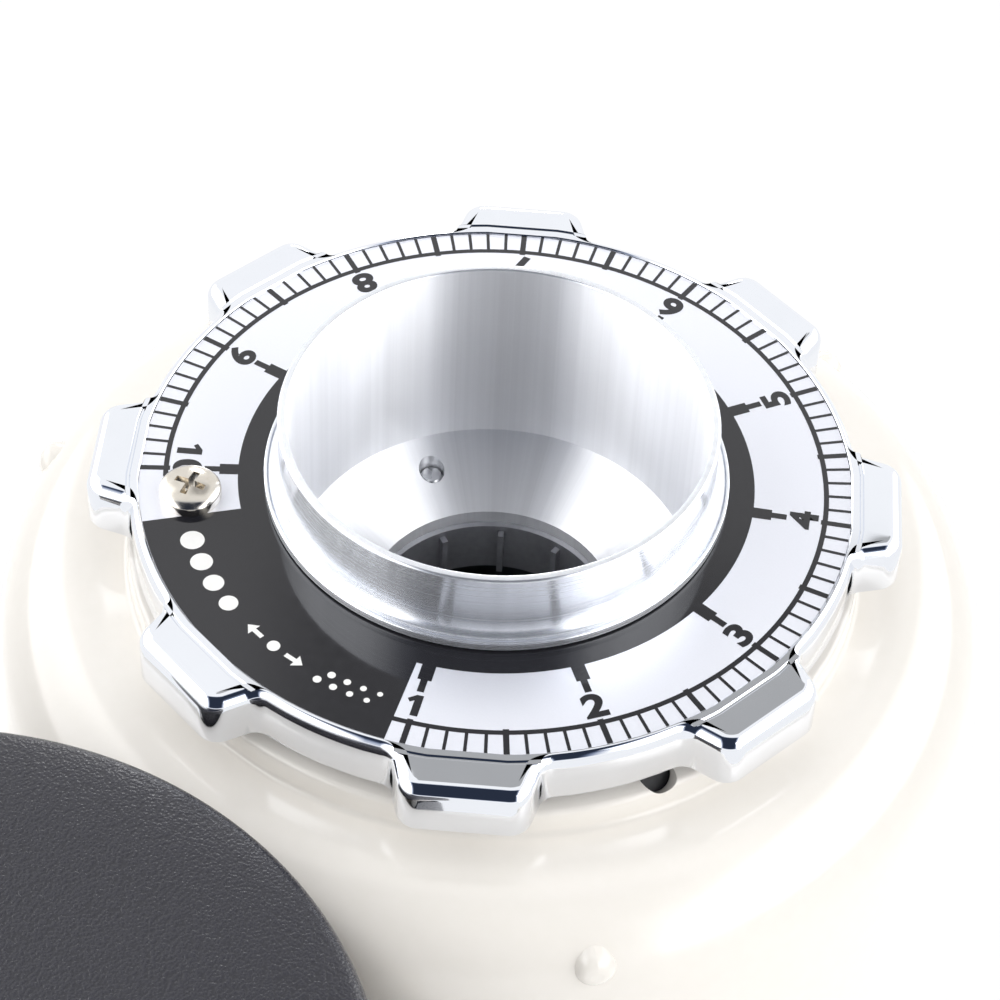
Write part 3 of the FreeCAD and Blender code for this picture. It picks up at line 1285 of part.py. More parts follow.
# Lever knob: a rounded black grip on the end of the arm
knob_down = "lever_top_down + lever_plate / 2"
grip = piece("lever_knob", y="doser_y", z=f"dial_z - ({knob_down})", angle="lever_angle")
knob_end = "knob_start + knob_length"
turn(grip, [("knob_start", "0"), (knob_end, "0"), (knob_end, "knob_r", "knob_round"),
            ("knob_start", "knob_neck_r")], "Edge1")
pocket(grip, box_outline(grip, ("knob_start", "lever_reach + fit_gap"),
                         ("-(lever_tip_half + fit_gap)", "lever_tip_half + fit_gap"),
                         lift="-(lever_plate / 2 + fit_gap)"), "lever_plate + 2 * fit_gap", ahead=True)
nodes.append(grip)

# Lever spring: the return spring wound round the lever's lower boss
lever_spring = piece("lever_spring", y="doser_y", z="dial_z")
spring_bore_r = "lever_boss_r + run_gap"
turn(lever_spring, [(spring_bore_r, "-lever_end_down"),
                    (f"{spring_bore_r} + lever_spring_wire", "-lever_end_down"),
                    (f"{spring_bore_r} + lever_spring_wire", "-lever_boss_down - run_gap"),
                    (spring_bore_r, "-lever_boss_down - run_gap")])
nodes.append(lever_spring)


def spout_loft(owner, kind, wall):
    """The funnel's taper between its mouth and its lips, set in by a wall."""
    sections = []
    for half, near, far, lift in (("spout_top_half", "spout_near", "spout_far", "-cup_end_down"),
                                  ("spout_tip_half", "spout_tip_near", "spout_tip_far",
                                   "-(cup_end_down + spout_drop)")):
        sections.append(box_outline(owner, (f"-({half} - {wall})", f"{half} - {wall}"),
                                    (f"-({far} - {wall})", f"-({near} + {wall})"), lift=lift,
                                    radius=f"spout_round - {wall}"))
    loft = feature(owner, kind, sections[0])
    loft.Sections = [sections[1]]
    loft.Ruled = True


# Doser spout: a tapering funnel under the outlet, with an ear on each side
spout = piece("doser_spout", y="doser_y", z="dial_z")
spout_loft(spout, "AdditiveLoft", "0")
pad(spout, box_outline(spout, ("-spout_ear_half", "spout_ear_half"), ("-spout_ear_far", "-spout_ear_near"),
                       lift="-cup_end_down"), "spout_ear", back=True)
spout_loft(spout, "SubtractiveLoft", "spout_wall")
pocket(spout, circles(spout, SPOUT_SCREWS, "spout_screw_r + fit_gap", lift="-cup_end_down"), "spout_ear")
nodes.append(spout)

# Spout screws: up through the ears into the cup's floor
spout_screws = piece("spout_screws", y="doser_y", z="dial_z")
ear_under = "-(cup_end_down + spout_ear)"
pad(spout_screws, circles(spout_screws, SPOUT_SCREWS, "spout_screw_head_r", lift=ear_under),
    "spout_screw_head", back=True)
pad(spout_screws, circles(spout_screws, SPOUT_SCREWS, "spout_screw_r", lift=ear_under),
    "spout_ear + spout_screw_reach")
nodes.append(spout_screws)

# Portafilter fork: a plated U on a back plate, screwed to the flat of the casing
fork = piece("portafilter_fork")
fork_root = "-front_flat"
fork_tip = "-(front_flat + fork_length)"
fork_inner = "-(front_flat + fork_bridge)"
pad(fork, outline(fork, [("-fork_half", fork_root), ("-fork_half", fork_tip, "fork_tip_round"),
                         ("-fork_gap_half", fork_tip, "fork_tip_round"),
                         ("-fork_gap_half", fork_inner, "fork_bridge"),
                         ("fork_gap_half", fork_inner, "fork_bridge"),
                         ("fork_gap_half", fork_tip, "fork_tip_round"),
                         ("fork_half", fork_tip, "fork_tip_round"), ("fork_half", fork_root)],
                  lift="fork_z"), "fork_plate")
pad(fork, box_outline(fork, ("-fork_back_half", "fork_back_half"), ("-(front_flat + fork_back)", fork_root),
                      lift="fork_z - fork_back_drop"), "fork_back_drop")
pocket(fork, circles(fork, FORK_SCREWS, "fork_screw_r + fit_gap", "XZ_Plane", "front_flat + fork_back"),
       "fork_back")
nodes.append(fork)

# Fork screws: through the back plate and the casing's wall
fork_screws = piece("fork_screws")
pad(fork_screws, circles(fork_screws, FORK_SCREWS, "fork_screw_head_r", "XZ_Plane",
                         "front_flat + fork_back"), "fork_screw_head")
pad(fork_screws, circles(fork_screws, FORK_SCREWS, "fork_screw_r", "XZ_Plane", "front_flat + fork_back"),
    "fork_back + casing_wall + overcut", back=True)
nodes.append(fork_screws)


def tray_plan(inset):
    """Corners of the tray's plan, set in by a wall."""
    side, near, far = f"tray_half - {inset}", f"-(tray_near + {inset})", f"-(tray_far - {inset})"
    rear_round, front_round = f"tray_rear_round - {inset}", f"tray_front_round - {inset}"
    return [(f"-({side})", far, front_round), (side, far, front_round),
            (side, near, rear_round), (f"-({side})", near, rear_round)]


# Grounds tray: a shallow open tray that slides forward off the deck
tray = piece("grounds_tray")
pad(tray, outline(tray, tray_plan("0"), lift="deck_z"), "tray_height")
pocket(tray, outline(tray, tray_plan("tray_wall"), lift="deck_z + tray_height"), "tray_height - tray_wall")
nodes.append(tray)

doc.recompute()
failed = [made.Label for made in doc.Objects if {"Invalid", "Error"} & set(made.State)]
failed += [made.Label for made in nodes if made.Shape.isNull() or not made.Shape.isValid()]
if failed:
    raise RuntimeError("these did not build: " + ", ".join(failed))
os.makedirs("parts", exist_ok=True)
for made in nodes:
    made.Shape.exportStep(f"parts/{made.Label}.step")
print(len(nodes), "pieces")
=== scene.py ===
import math

import bmesh
import bpy
from mathutils import Matrix, Vector


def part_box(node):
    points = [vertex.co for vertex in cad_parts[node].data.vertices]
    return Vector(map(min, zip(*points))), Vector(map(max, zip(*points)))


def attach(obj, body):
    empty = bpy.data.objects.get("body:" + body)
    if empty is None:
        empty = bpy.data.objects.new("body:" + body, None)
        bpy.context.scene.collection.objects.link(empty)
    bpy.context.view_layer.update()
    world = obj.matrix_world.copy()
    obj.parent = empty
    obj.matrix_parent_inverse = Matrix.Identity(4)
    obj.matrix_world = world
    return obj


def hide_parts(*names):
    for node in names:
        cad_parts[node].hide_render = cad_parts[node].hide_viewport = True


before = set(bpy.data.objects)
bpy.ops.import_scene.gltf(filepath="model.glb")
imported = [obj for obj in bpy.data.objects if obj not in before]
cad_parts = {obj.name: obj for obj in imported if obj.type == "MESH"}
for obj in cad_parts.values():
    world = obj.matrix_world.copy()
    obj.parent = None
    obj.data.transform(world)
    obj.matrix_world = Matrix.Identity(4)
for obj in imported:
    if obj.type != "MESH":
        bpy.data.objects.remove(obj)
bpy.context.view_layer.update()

# Studio: a floor of matt white paper, as in a product photograph.
# What the camera and the mirrors see of it glows, so that it meets the white background without an edge.
MM = 0.001
FLOOR_SIZE = 6.0
FLOOR_COLOR = "F4F4F4"
BACK_GLOW = 0.9
CAMERA_AZIMUTH = 33.5


def linear(text):
    """Linear colour of an sRGB hex value."""
    parts = [int(text[i:i + 2], 16) / 255 for i in (0, 2, 4)]
    return [c / 12.92 if c <= 0.04045 else ((c + 0.055) / 1.055) ** 2.4 for c in parts] + [1.0]


def add(tree, kind, inputs=None, **settings):
    """A new node with its settings, and its inputs set or linked by name or place."""
    made = tree.nodes.new(kind)
    for name, value in settings.items():
        setattr(made, name, value)
    for name, value in (inputs or {}).items():
        if isinstance(value, bpy.types.NodeSocket):
            tree.links.new(value, made.inputs[name])
        else:
            made.inputs[name].default_value = value
    return made


def smooth_edges(bm, limit=math.radians(32)):
    """Smooth shading that stays sharp at edges that turn more than a limit."""
    for face in bm.faces:
        face.smooth = True
    for edge in bm.edges:
        edge.smooth = len(edge.link_faces) == 2 and edge.calc_face_angle(0) < limit


def solid(name, bm):
    """A mesh object at the origin."""
    bm.normal_update()
    smooth_edges(bm)
    mesh = bpy.data.meshes.new(name)
    bm.to_mesh(mesh)
    bm.free()
    made = bpy.data.objects.new(name, mesh)
    bpy.context.scene.collection.objects.link(made)
    return made


scene = bpy.context.scene
scene.view_settings.view_transform = "Standard"

floor_bm = bmesh.new()
bmesh.ops.create_grid(floor_bm, x_segments=1, y_segments=1, size=FLOOR_SIZE / 2)
floor = solid("floor", floor_bm)

floor_paper = bpy.data.materials.new("white_paper_sweep")
floor_paper.use_nodes = True
tree = floor_paper.node_tree
paper = tree.nodes["Principled BSDF"]
paper.inputs["Base Color"].default_value = linear(FLOOR_COLOR)
paper.inputs["Roughness"].default_value = 0.9
rays = add(tree, "ShaderNodeLightPath")
seen = add(tree, "ShaderNodeMath", {0: rays.outputs["Is Camera Ray"], 1: rays.outputs["Is Glossy Ray"]},
           operation="MAXIMUM")
seen = add(tree, "ShaderNodeMath", {0: seen.outputs[0], 1: rays.outputs["Is Transmission Ray"]},
           operation="MAXIMUM")
glow_share = add(tree, "ShaderNodeMath", {0: seen.outputs[0], 1: BACK_GLOW}, operation="MULTIPLY")
glow = add(tree, "ShaderNodeEmission", {"Color": [1, 1, 1, 1], "Strength": 1.0})
paper_mix = add(tree, "ShaderNodeMixShader",
                {0: glow_share.outputs[0], 1: paper.outputs[0], 2: glow.outputs[0]})
tree.links.new(paper_mix.outputs[0], tree.nodes["Material Output"].inputs["Surface"])
floor.data.materials.append(floor_paper)

# World: an even white room for matt surfaces. Mirrors see a bright bank at each side, a dark gap between
# them from the camera's side to overhead, a grey strip past the gap, and white elsewhere. Limits to the side
# and low down are parts of a unit direction; the others are degrees over the top from the camera's side.
ROOM_LEVEL = 0.75
WORLD_LEVEL = 1.05
SIDE_LEVEL = 4.2
GAP_LEVEL = 0.055
GAP_TINT = (0.45, 0.6, 1.0, 1.0)
GREY_LEVEL = 0.45
NO_LIMIT = 2
BANK_SIDE, BANK_SIDE_FADE, BANK_LOW, BANK_LOW_FADE = 0.62, 0.1, 0.1, 0.08
GAP_SIDE, GAP_SIDE_FADE, GAP_FROM, GAP_TO, GAP_FADE = 0.4, 0.14, 6, 85, 6
GREY_LEFT, GREY_RIGHT, GREY_SIDE_FADE = -0.05, 0.3, 0.03
GREY_FROM, GREY_TO, GREY_FADE = 112, 131, 2
world = bpy.data.worlds.new("studio")
world.use_nodes = True
scene.world = world
tree = world.node_tree
azimuth = math.radians(CAMERA_AZIMUTH)
toward_camera = (math.sin(azimuth), -math.cos(azimuth), 0)
toward_right = (math.cos(azimuth), math.sin(azimuth), 0)
way = add(tree, "ShaderNodeTexCoord").outputs["Generated"]
level = add(tree, "ShaderNodeSeparateXYZ", {0: way}).outputs["Z"]
facing = add(tree, "ShaderNodeVectorMath", {0: way, 1: toward_camera}, operation="DOT_PRODUCT")
facing = facing.outputs["Value"]
over = add(tree, "ShaderNodeMath", {0: level, 1: facing}, operation="ARCTAN2").outputs[0]
over = add(tree, "ShaderNodeMath", {0: over}, operation="DEGREES").outputs[0]
rightward = add(tree, "ShaderNodeVectorMath", {0: way, 1: toward_right}, operation="DOT_PRODUCT")
rightward = rightward.outputs["Value"]
sideways = add(tree, "ShaderNodeMath", {0: rightward}, operation="ABSOLUTE").outputs[0]


def window(value, low, high, soft):
    """1 where a value lies between two limits, fading to 0 past them."""
    rise = add(tree, "ShaderNodeMapRange", {"Value": value, "From Min": low - soft, "From Max": low},
               interpolation_type="SMOOTHSTEP").outputs[0]
    fall = add(tree, "ShaderNodeMapRange", {"Value": value, "From Min": high, "From Max": high + soft,
                                            "To Min": 1.0, "To Max": 0.0},
               interpolation_type="SMOOTHSTEP").outputs[0]
    return add(tree, "ShaderNodeMath", {0: rise, 1: fall}, operation="MULTIPLY").outputs[0]


def both(one, other):
    """The product of two windows."""
    return add(tree, "ShaderNodeMath", {0: one, 1: other}, operation="MULTIPLY").outputs[0]


banks = both(window(sideways, BANK_SIDE, NO_LIMIT, BANK_SIDE_FADE),
             window(level, BANK_LOW, NO_LIMIT, BANK_LOW_FADE))
gap = both(window(sideways, -NO_LIMIT, GAP_SIDE, GAP_SIDE_FADE), window(over, GAP_FROM, GAP_TO, GAP_FADE))
grey_strip = both(window(rightward, GREY_LEFT, GREY_RIGHT, GREY_SIDE_FADE),
                  window(over, GREY_FROM, GREY_TO, GREY_FADE))
lit = WORLD_LEVEL
for where, strength in ((banks, SIDE_LEVEL), (gap, GAP_LEVEL), (grey_strip, GREY_LEVEL)):
    lit = add(tree, "ShaderNodeMapRange", {"Value": where, "To Min": lit, "To Max": strength}).outputs[0]
tint = add(tree, "ShaderNodeMix", {0: gap, 6: [1, 1, 1, 1], 7: GAP_TINT}, data_type="RGBA").outputs[2]
mirrored = add(tree, "ShaderNodeBackground", {"Color": tint, "Strength": lit})
room = add(tree, "ShaderNodeBackground", {"Color": [1, 1, 1, 1], "Strength": ROOM_LEVEL})
white = add(tree, "ShaderNodeBackground", {"Color": [1, 1, 1, 1], "Strength": 1.0})
rays = add(tree, "ShaderNodeLightPath")
around = add(tree, "ShaderNodeMixShader",
             {0: rays.outputs["Is Diffuse Ray"], 1: mirrored.outputs[0], 2: room.outputs[0]})
sky = add(tree, "ShaderNodeMixShader",
          {0: rays.outputs["Is Camera Ray"], 1: around.outputs[0], 2: white.outputs[0]})
tree.links.new(sky.outputs[0], tree.nodes["World Output"].inputs["Surface"])

# Softboxes: one large and high at the left, one long and low at the right, and a small one at the back
# that puts a faint sheen on the far edge of the lid. Places and sizes are in metres.
dial_low, dial_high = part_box("dial_plate")
AXIS = Vector(((dial_low.x + dial_high.x) / 2, (dial_low.y + dial_high.y) / 2, dial_high.z))


def softbox(name, place, size, watts):
    """An area lamp that faces the middle of the dial."""
    lamp = bpy.data.lights.new(name, "AREA")
    lamp.shape = "RECTANGLE"
    lamp.size, lamp.size_y = size
    lamp.energy = watts
    made = bpy.data.objects.new(name, lamp)
    made.location = place
    made.rotation_euler = (Vector(place) - AXIS).to_track_quat("Z", "Y").to_euler()
    scene.collection.objects.link(made)


softbox("left_softbox", (-1.15, 0.0, 1.3), (0.8, 0.8), 1.5)
softbox("right_softbox", (1.1, -0.2, 0.75), (0.35, 1.1), 1.2)
softbox("back_softbox", (-0.7, 1.02, 0.78), (0.18, 0.18), 1.2)

# Camera: at the photograph's place, fitted to the dial, the ring and the throat.
# Its place is given from the middle of the dial's top, before it is turned to the azimuth.
CAMERA_LENS = 118.21
CAMERA_SENSOR = 36
CAMERA_ELEVATION = 46.961
CAMERA_ROLL = 2.832
CAMERA_FROM_AXIS = Vector((0.650, -329.790, 347.933)) * MM
turn = Matrix.Rotation(azimuth, 3, "Z")
elevation, roll = math.radians(CAMERA_ELEVATION), math.radians(CAMERA_ROLL)
ahead = turn @ Vector((0, math.cos(elevation), -math.sin(elevation)))
right = turn @ Vector((1, 0, 0))
upward = right.cross(ahead)
camera_x = right * math.cos(roll) + upward * math.sin(roll)
camera_y = upward * math.cos(roll) - right * math.sin(roll)
lens = bpy.data.cameras.new("camera")
lens.sensor_width = CAMERA_SENSOR
lens.sensor_fit = "HORIZONTAL"
lens.lens = CAMERA_LENS
camera = bpy.data.objects.new("camera", lens)
camera.matrix_world = Matrix.Translation(AXIS + turn @ CAMERA_FROM_AXIS) @ Matrix(
    (camera_x, camera_y, -ahead)).transposed().to_4x4()
scene.collection.objects.link(camera)
scene.camera = camera

# Rubber feet and shaft seal: moulded black rubber. Each foot is held by one screw up through it.
# Matt, with a fine mottle from the mould.


def surface(name, color, values):
    """A material with one shader, its colour and plain values set on the shader itself."""
    made = bpy.data.materials.new(name)
    made.use_nodes = True
    shader = made.node_tree.nodes["Principled BSDF"]
    shader.inputs["Base Color"].default_value = linear(color)
    for socket, value in values.items():
        shader.inputs[socket].default_value = value
    return made


def speckle(material, size, shades=None, rough=None, rise=0.0):
    """A cloudy noise of a real size in mm, on the colour, the roughness and the height of a surface."""
    tree = material.node_tree
    shader = tree.nodes["Principled BSDF"]
    place = add(tree, "ShaderNodeTexCoord").outputs["Object"]
    cloud = add(tree, "ShaderNodeTexNoise", {"Vector": place, "Scale": 1 / (size * MM), "Detail": 3.0})
    cloud = cloud.outputs[0]
    if shades:
        tint = add(tree, "ShaderNodeMix", {0: cloud, 6: linear(shades[0]), 7: linear(shades[1])},
                   data_type="RGBA")
        tree.links.new(tint.outputs[2], shader.inputs["Base Color"])
    if rough:
        gloss = add(tree, "ShaderNodeMapRange", {"Value": cloud, "From Min": 0.25, "From Max": 0.75,
                                                 "To Min": rough[0], "To Max": rough[1]})
        tree.links.new(gloss.outputs[0], shader.inputs["Roughness"])
    if rise:
        relief = add(tree, "ShaderNodeBump", {"Height": cloud, "Strength": 1.0, "Distance": rise * MM})
        tree.links.new(relief.outputs[0], shader.inputs["Normal"])
    return material


def dress(material, *nodes):
    """Give CAD nodes a material."""
    for name in nodes:
        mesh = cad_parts[name].data
        mesh.materials.clear()
        mesh.materials.append(material)


rubber = speckle(surface("moulded_black_rubber", "1C1C1D", {"Roughness": 0.8, "IOR": 1.5}),
                 0.6, ("161617", "242425"), (0.7, 0.9), 0.05)
dress(rubber, "rubber_feet", "shaft_seal")

# Base casting and plugs: an aluminium casting, and painted buttons pressed into the casing's side.
# Cream enamel, glossy and even, with the faint orange peel of sprayed paint.
enamel = speckle(surface("sprayed_cream_enamel_gloss", "F1EDE6", {"Roughness": 0.14, "IOR": 1.5}),
                 2.2, ("F0ECE5", "F3EFE9"), (0.1, 0.17), 0.004)
dress(enamel, "base_casting", "casing_plugs")


def rounded(corners, steps=8):
    """Points of a closed outline from its corners, (x, y) or (x, y, radius) with the corner rounded."""
    points = []
    for i, (x, y, *radius) in enumerate(corners):
        spot = Vector((x, y))
        if not radius:
            points.append(tuple(spot))
            continue
        back = (Vector(corners[i - 1][:2]) - spot).normalized()
        on = (Vector(corners[(i + 1) % len(corners)][:2]) - spot).normalized()
        half = back.angle(on) / 2
        middle = spot + (back + on).normalized() * (radius[0] / math.sin(half))
        start = spot + back * (radius[0] / math.tan(half)) - middle
        swing = math.copysign(math.pi - 2 * half, back.x * on.y - back.y * on.x)
        points += [tuple(middle + Matrix.Rotation(-swing * k / steps, 2) @ start) for k in range(steps + 1)]
    return points


def skin(bm, rows, closed):
    """Faces between rows of vertices that run round an axis, each row from pole to pole or closed."""
    count = len(rows[0])
    pairs = list(zip(range(count), range(1, count))) + ([(count - 1, 0)] if closed else [])
    for here, there in zip(rows, rows[1:] + rows[:1]):
        for i, j in pairs:
            bm.faces.new((here[i], there[i], there[j], here[j]))
    bmesh.ops.remove_doubles(bm, verts=bm.verts, dist=1e-7)
    bmesh.ops.recalc_face_normals(bm, faces=bm.faces)


def carve(piece, cutter):
    """Cut one mesh out of another, keep the new edges sharp, and drop the cutter."""
    modifier = piece.modifiers.new("carve", "BOOLEAN")
    modifier.operation = "DIFFERENCE"
    modifier.solver = "EXACT"
    modifier.object = cutter
    done = bpy.data.meshes.new_from_object(piece.evaluated_get(bpy.context.evaluated_depsgraph_get()))
    piece.modifiers.clear()
    piece.data = done
    bpy.data.objects.remove(cutter)
    bm = bmesh.new()
    bm.from_mesh(done)
    smooth_edges(bm)
    bm.to_mesh(done)
    bm.free()


def fit(piece, material, body, slot, *nodes):
    """Give a piece its material, and say what it rides on and what it stands for; the slot is not used."""
    piece.data.materials.clear()
    piece.data.materials.append(material)
    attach(piece, body)
    if nodes:
        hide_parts(*nodes)


# Body casing: the tower, cast and enamelled, with a flat front for the doser, a slanting hole for the
# lock screw and a stepped opening that takes the switch. It stands on the base and is screwed from below.
BOSS_TOP = -10.6
CASING_FOOT = (92, -326)
CASING = ((48.1, -21.1), (48.1, BOSS_TOP, 0.3), (54.2, BOSS_TOP, 0.8), (54.2, -15.1, 1.0), (73, -15.1, 15),
          (79.3, -90, 3000), (87.1, -235), (90.3, -295), CASING_FOOT, (86, -326), (73.3, -90, 3000),
          (67, -21.1, 4))
CASING_WALL = 6
CASING_STEPS = 540
FLAT_FRONT, FLAT_BLEND, FLAT_REACH = 67.4, 3.0, 0.3
LOCK_HOLE_R, LOCK_HOLE_DEPTH, LOCK_RING_R, LOCK_ANGLE, LOCK_TILT = 2.6, 30, 51.6, 331.5, 45
SWITCH_GAP, SWITCH_LIP, SWITCH_LIP_DEPTH, SWITCH_CLEAR = 0.2, 2.5, 2.5, 12


def flattened(radius, angle, flat):
    """Radius of a round cut flat at the front, with a soft edge where the cut begins."""
    swing = math.cos(angle - 1.5 * math.pi)
    if swing < FLAT_REACH:
        return radius
    cut = flat / swing
    near = max(0, 1 - abs(radius - cut) / FLAT_BLEND)
    return min(radius, cut) - near ** 2 * FLAT_BLEND / 4


casing_bm = bmesh.new()
profile = rounded(CASING, 10)
outside = profile.index(CASING_FOOT)
rows = []
for k in range(CASING_STEPS):
    angle = 2 * math.pi * k / CASING_STEPS
    row = []
    for i, (r, z) in enumerate(profile):
        r = flattened(r, angle, FLAT_FRONT if i <= outside else FLAT_FRONT - CASING_WALL)
        row.append(casing_bm.verts.new(AXIS + Vector((r * math.cos(angle), r * math.sin(angle), z)) * MM))
    rows.append(row)
skin(casing_bm, rows, True)
casing = solid("body_casing_enamelled", casing_bm)
hole_bm = bmesh.new()
bmesh.ops.create_cone(hole_bm, cap_ends=True, segments=48, radius1=LOCK_HOLE_R * MM,
                      radius2=LOCK_HOLE_R * MM, depth=LOCK_HOLE_DEPTH * MM)
hole_way = Matrix.Translation(AXIS) @ Matrix.Rotation(math.radians(LOCK_ANGLE), 4, "Z")
hole_way = hole_way @ Matrix.Translation(Vector((LOCK_RING_R, 0, BOSS_TOP)) * MM)
hole_way = hole_way @ Matrix.Rotation(math.radians(LOCK_TILT), 4, "Y")
bmesh.ops.transform(hole_bm, matrix=hole_way, verts=hole_bm.verts)
carve(casing, solid("cutter", hole_bm))
switch_low, switch_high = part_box("switch_housing")
for start, grow in ((switch_low.x, SWITCH_GAP - SWITCH_LIP),
                    (switch_high.x - SWITCH_LIP_DEPTH * MM, SWITCH_GAP)):
    near = Vector((start, *switch_low.yz)) - Vector((0, grow, grow)) * MM
    far = switch_high + Vector((SWITCH_CLEAR, grow, grow)) * MM
    seat_bm = bmesh.new()
    bmesh.ops.create_cube(seat_bm, size=1)
    seat_way = Matrix.Translation((near + far) / 2) @ Matrix.Diagonal((*(far - near), 1))
    bmesh.ops.transform(seat_bm, matrix=seat_way, verts=seat_bm.verts)
    carve(casing, solid("cutter", seat_bm))
fit(casing, enamel, "base", "cream_enamel", "body_casing")

# Screws, shaft, bearings, springs and sheet: steel, turned, wound or pressed, then zinc plated.
# Bright, with a soft cloud in its gloss.
zinc = speckle(surface("bright_zinc_plated_steel", "C9CACC", {"Metallic": 1.0, "Roughness": 0.28}),
               2.5, ("BFC0C3", "D2D3D5"), (0.2, 0.36))
dress(zinc, "base_screws", "base_cover", "casing_screws", "grounds_chute", "carrier_dowels",
      "carrier_springs", "motor_shaft", "upper_bearing", "lower_bearing", "motor_bolts", "capacitor_clamp",
      "doser_screws", "doser_shaft", "lever_spring", "spout_screws", "fork_screws")

# Gland, switch, dose nut and lever knob: black ABS from a spark-eroded mould.
# Satin, with a fine texture that breaks up the light.
black_abs = speckle(surface("moulded_black_abs_satin", "1A1A1C", {"Roughness": 0.42, "IOR": 1.53}),
                    0.35, ("161618", "202022"), (0.36, 0.5), 0.012)
dress(black_abs, "cord_gland", "switch_housing", "switch_rocker", "dose_nut", "lever_knob")

# Burr chamber and end bell: aluminium castings inside the tower, left as cast.
# Matt and slightly rough from the sand.
cast = speckle(surface("sand_cast_aluminium", "A6A8AA", {"Metallic": 1.0, "Roughness": 0.5}),
               0.9, ("9A9C9E", "B2B4B6"), (0.42, 0.6), 0.03)
dress(cast, "burr_chamber", "motor_end_bell")

# Burrs and feed cone: hardened steel, ground dull, in a dark grey.
# Their screws and the lock screw are black oxide steel, nearly matt.
burr_steel = speckle(surface("hardened_ground_steel", "505156", {"Metallic": 1.0, "Roughness": 0.4}),
                     1.2, ("46474C", "5C5D62"), (0.3, 0.5), 0.006)
dress(burr_steel, "upper_burr", "lower_burr", "feed_cone")
black_oxide = speckle(surface("black_oxide_steel", "1B1B1D", {"Metallic": 0.6, "Roughness": 0.42}),
                      0.5, ("151517", "242426"), (0.35, 0.5))
dress(black_oxide, "chamber_screws", "ring_lock_screw", "upper_burr_screws", "lower_burr_screws")

# Motor: a core of stacked steel sheets, a winding of varnished copper, and a capacitor and terminal
# block of pale plastic. Grey, amber and ivory, each dull beside the plated screws.
core = speckle(surface("laminated_core_steel", "6A6B6E", {"Metallic": 1.0, "Roughness": 0.55}),
               0.7, ("5C5D60", "77787B"), (0.5, 0.65))
dress(core, "motor_rotor", "motor_stator")
winding = speckle(surface("varnished_copper_winding", "A9622F", {"Metallic": 0.8, "Roughness": 0.35}),
                  1.0, ("8E4F24", "BE763D"), (0.3, 0.45), 0.2)
dress(winding, "motor_coils")
pale = speckle(surface("moulded_pale_plastic", "D8D5CB", {"Roughness": 0.45, "IOR": 1.5}),
               1.0, ("D3D0C6", "DCD9CF"), (0.4, 0.5))
dress(pale, "run_capacitor", "terminal_block")

# Upper burr carrier, turntable, star and spout: aluminium turned bright on a lathe.
# The tool leaves fine rings round the axis, which draw each highlight out into a streak along the wall.
# Real rings stand about 0.1 mm apart; they are drawn at 0.35 mm so that they show.
# Bands round the axis are painted up to a tenth darker in the colour, as painted reflection streaks along
# the wall.
TOOL_RING = 0.35
RING_RISE = 0.004
RING_DULL, RING_BRIGHT = 1.2, 0.85
PAINTED_STREAK_SCALE, PAINTED_STREAK_SHADE = 10.0, 0.9


def turned(name, color, metal, rough, stretch):
    """Metal with fine rings at one pitch along the axis and across a face, streaked highlights, and painted
    reflection streaks in its colour.
    """
    made = surface(name, color, {"Metallic": metal, "Roughness": rough, "Anisotropic": stretch,
                                 "Anisotropic Rotation": 0.25})
    tree = made.node_tree
    shader = tree.nodes["Principled BSDF"]
    place = add(tree, "ShaderNodeTexCoord").outputs["Object"]
    offset = add(tree, "ShaderNodeVectorMath", {0: place, 1: AXIS}, operation="SUBTRACT").outputs[0]
    parts = add(tree, "ShaderNodeSeparateXYZ", {0: offset})
    flat = add(tree, "ShaderNodeCombineXYZ", {0: parts.outputs[0], 1: parts.outputs[1]}).outputs[0]
    radius = add(tree, "ShaderNodeVectorMath", {0: flat}, operation="LENGTH").outputs["Value"]
    round_way = add(tree, "ShaderNodeVectorMath", {0: flat}, operation="NORMALIZE").outputs[0]
    painted_streaks = add(tree, "ShaderNodeTexNoise",
                  {"Vector": round_way, "Scale": PAINTED_STREAK_SCALE, "Detail": 5.0, "Roughness": 0.7}).outputs[0]
    painted_streaks = add(tree, "ShaderNodeMapRange", {"Value": painted_streaks, "From Min": 0.35, "From Max": 0.65})
    shade = [c * PAINTED_STREAK_SHADE for c in linear(color)[:3]] + [1.0]
    tint = add(tree, "ShaderNodeMix", {0: painted_streaks.outputs[0], 6: shade, 7: linear(color)}, data_type="RGBA")
    tree.links.new(tint.outputs[2], shader.inputs["Base Color"])
    along = add(tree, "ShaderNodeMath", {0: radius, 1: parts.outputs[2]}, operation="ADD").outputs[0]
    lines = add(tree, "ShaderNodeTexNoise", {"W": along, "Scale": 1 / (TOOL_RING * MM), "Detail": 2.0},
                noise_dimensions="1D").outputs[0]
    gloss = add(tree, "ShaderNodeMapRange", {"Value": lines, "From Min": 0.25, "From Max": 0.75,
                                             "To Min": RING_BRIGHT * rough, "To Max": RING_DULL * rough})
    tree.links.new(gloss.outputs[0], shader.inputs["Roughness"])
    relief = add(tree, "ShaderNodeBump", {"Height": lines, "Strength": 1.0, "Distance": RING_RISE * MM})
    tree.links.new(relief.outputs[0], shader.inputs["Normal"])
    grain = add(tree, "ShaderNodeTangent", direction_type="RADIAL", axis="Z")
    tree.links.new(grain.outputs[0], shader.inputs["Tangent"])
    return made


aluminium = turned("turned_bright_aluminium", "F8F9FC", 0.85, 0.36, 0.95)
dress(aluminium, "upper_burr_carrier", "lower_burr_carrier", "doser_star", "doser_spout")

